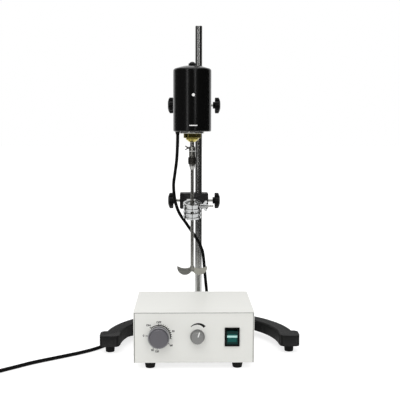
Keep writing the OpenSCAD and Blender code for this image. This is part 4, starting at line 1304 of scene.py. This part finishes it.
@dataclass
class Studio:
    """Camera, soft lights and the white ground and backdrop."""

    camera_at: Point = (-0.0273, -1.3825, 0.41175)
    pitch: float = 5.561
    yaw: float = 1.1606
    roll: float = 0.0991
    lens: float = 67.5
    sensor: float = 36.0
    ground: float = 14.0
    ambient: float = 0.58
    screen_radius: float = 1.2
    screen_height: float = 2.2
    screen_tones: tuple[float, float] = (0.10, 0.03)
    screen_back: float = 0.62
    screen_fade: tuple[float, float] = (-0.75, -0.05)
    kerb_radius: float = 0.68
    kerb_height: float = 0.12
    ground_drop: float = 0.0004
    ground_bounce: float = 0.8
    ground_glow: float = 0.76
    ground_shade: float = 0.45
    sun_strength: float = 1.3
    sun_spread: float = 70.0
    sun_tilt: tuple[float, float] = (14.0, -8.0)
    strips: tuple[Strip, ...] = (Strip("left_strip", -31, 0.75, (0.13, 1.3), 1.7),
                                 Strip("right_strip", 17, 0.85, (0.11, 1.2), 1.5))

    def camera(self) -> None:
        """Places the camera at the photograph's angle."""
        data = bpy.data.cameras.new("camera")
        data.lens = self.lens
        data.sensor_width = self.sensor
        data.clip_start = 0.05
        camera = bpy.data.objects.new("camera", data)
        turn = (Matrix.Rotation(math.radians(-self.yaw), 4, "Z")
                @ Matrix.Rotation(math.radians(90 - self.pitch), 4, "X")
                @ Matrix.Rotation(math.radians(self.roll), 4, "Z"))
        camera.matrix_world = Matrix.Translation(self.camera_at) @ turn
        bpy.context.scene.collection.objects.link(camera)
        bpy.context.scene.camera = camera

    def strip_lamp(self, strip: Strip) -> None:
        """Adds one tall soft lamp that faces the object.

        Args:
            strip: The lamp's place, size and power.
        """
        angle = math.radians(strip.azimuth)
        place = Vector((strip.distance * math.sin(angle), -strip.distance * math.cos(angle),
                        strip.height))
        data = bpy.data.lights.new(strip.name, "AREA")
        data.shape = "RECTANGLE"
        data.size, data.size_y = strip.size
        data.energy = strip.power
        lamp = bpy.data.objects.new(strip.name, data)
        lamp.location = place
        facing = Vector((0, 0, strip.height * strip.aim)) - place
        lamp.rotation_euler = facing.to_track_quat("-Z", "Y").to_euler()
        bpy.context.scene.collection.objects.link(lamp)

    def overhead(self) -> None:
        """Adds the wide overhead light, equally strong everywhere."""
        data = bpy.data.lights.new("overhead", "SUN")
        data.energy = self.sun_strength
        data.angle = math.radians(self.sun_spread)
        lamp = bpy.data.objects.new("overhead", data)
        lamp.rotation_euler = (math.radians(self.sun_tilt[0]), math.radians(self.sun_tilt[1]), 0)
        bpy.context.scene.collection.objects.link(lamp)

    def world(self) -> None:
        """Lights the scene evenly and shows white behind it."""
        world = bpy.data.worlds.new("studio")
        bpy.context.scene.world = world
        world.use_nodes = True
        tree = world.node_tree
        path = tree.nodes.new("ShaderNodeLightPath").outputs
        seen = calculate(tree, "MAXIMUM", path["Is Camera Ray"], path["Is Glossy Ray"])
        strength = add_node(tree, "ShaderNodeMapRange", {
            "Value": calculate(tree, "MAXIMUM", seen, path["Is Transmission Ray"]),
            "To Min": self.ambient, "To Max": 1.0})
        fill(tree, tree.nodes["Background"], {
            "Color": (1.0, 1.0, 1.0, 1.0), "Strength": strength.outputs["Result"]})

    def floor(self) -> None:
        """Lays a white ground that keeps the object's soft shadow."""
        deselect()
        bpy.ops.mesh.primitive_plane_add(size=2 * self.ground, location=(0, 0, -self.ground_drop))
        ground = bpy.context.object
        ground.name = "ground"
        made = bpy.data.materials.new("ground_white")
        made.use_nodes = True
        tree = made.node_tree
        tree.nodes.remove(tree.nodes["Principled BSDF"])
        bounce, shade = (add_node(tree, "ShaderNodeBsdfDiffuse", {"Color": (grey, grey, grey, 1.0)})
                         for grey in (self.ground_bounce, self.ground_shade))
        glow = add_node(tree, "ShaderNodeEmission", {"Strength": self.ground_glow})
        shown = add_node(tree, "ShaderNodeAddShader", {0: glow.outputs[0], 1: shade.outputs[0]})
        path = tree.nodes.new("ShaderNodeLightPath").outputs
        seen = calculate(tree, "MAXIMUM", path["Is Camera Ray"], path["Is Glossy Ray"])
        mix = add_node(tree, "ShaderNodeMixShader", {
            0: seen, 1: bounce.outputs[0], 2: shown.outputs[0]})
        fill(tree, tree.nodes["Material Output"], {"Surface": mix.outputs[0]})
        ground.data.materials.append(made)

    def dark_screen(self, name: str, radius: float, height: float) -> None:
        """Stands a dark curved screen round the front, which only reflections show.

        Args:
            name: Name of the screen.
            radius: Its distance from the middle.
            height: Its height.
        """
        deselect()
        bpy.ops.mesh.primitive_cylinder_add(vertices=64, radius=radius, depth=height,
                                            end_fill_type="NOTHING", location=(0, 0, height / 2))
        screen = settle(bpy.context.object, name)
        edit_all(bpy.ops.mesh.bisect, plane_co=(0, self.screen_back * radius, 0),
                 plane_no=(0, 1, 0), clear_outer=True)
        made = bpy.data.materials.new(name + "_grey")
        made.use_nodes = True
        tree = made.node_tree
        tree.nodes.remove(tree.nodes["Principled BSDF"])
        place = tree.nodes.new("ShaderNodeTexCoord").outputs["Object"]
        across = add_node(tree, "ShaderNodeSeparateXYZ", {0: place}).outputs["X"]
        start, end = self.screen_fade
        left, right = self.screen_tones
        fade = add_node(tree, "ShaderNodeMapRange", {
            "Value": across, "From Min": radius * start, "From Max": radius * end,
            "To Min": left, "To Max": right})
        tone = add_node(tree, "ShaderNodeEmission", {"Strength": fade.outputs["Result"]})
        fill(tree, tree.nodes["Material Output"], {"Surface": tone.outputs[0]})
        screen.data.materials.append(made)
        screen.visible_camera = False
        screen.visible_diffuse = False
        screen.visible_shadow = False
        screen.visible_transmission = False

    def build(self) -> None:
        """Sets the whole studio up."""
        self.camera()
        self.world()
        self.floor()
        self.dark_screen("dark_screen", self.screen_radius, self.screen_height)
        self.dark_screen("dark_kerb", self.kerb_radius, self.kerb_height)
        for strip in self.strips:
            self.strip_lamp(strip)
        self.overhead()
        bpy.context.scene.view_settings.view_transform = "Standard"


def main() -> None:
    """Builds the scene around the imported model."""
    logging.basicConfig(level=logging.INFO, format="%(message)s")
    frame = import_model()
    dress_nodes(frame)
    model = Model(frame)
    Studio().build()
    MotorLead().build()
    MainsCord().build(model)
    for assembly in (Stand(), BossHeads(), MotorHead(), ChuckAndShaft(), FlaskClamp(),
                     ControlBox()):
        assembly.build(model)


if __name__ == "__main__":
    main()
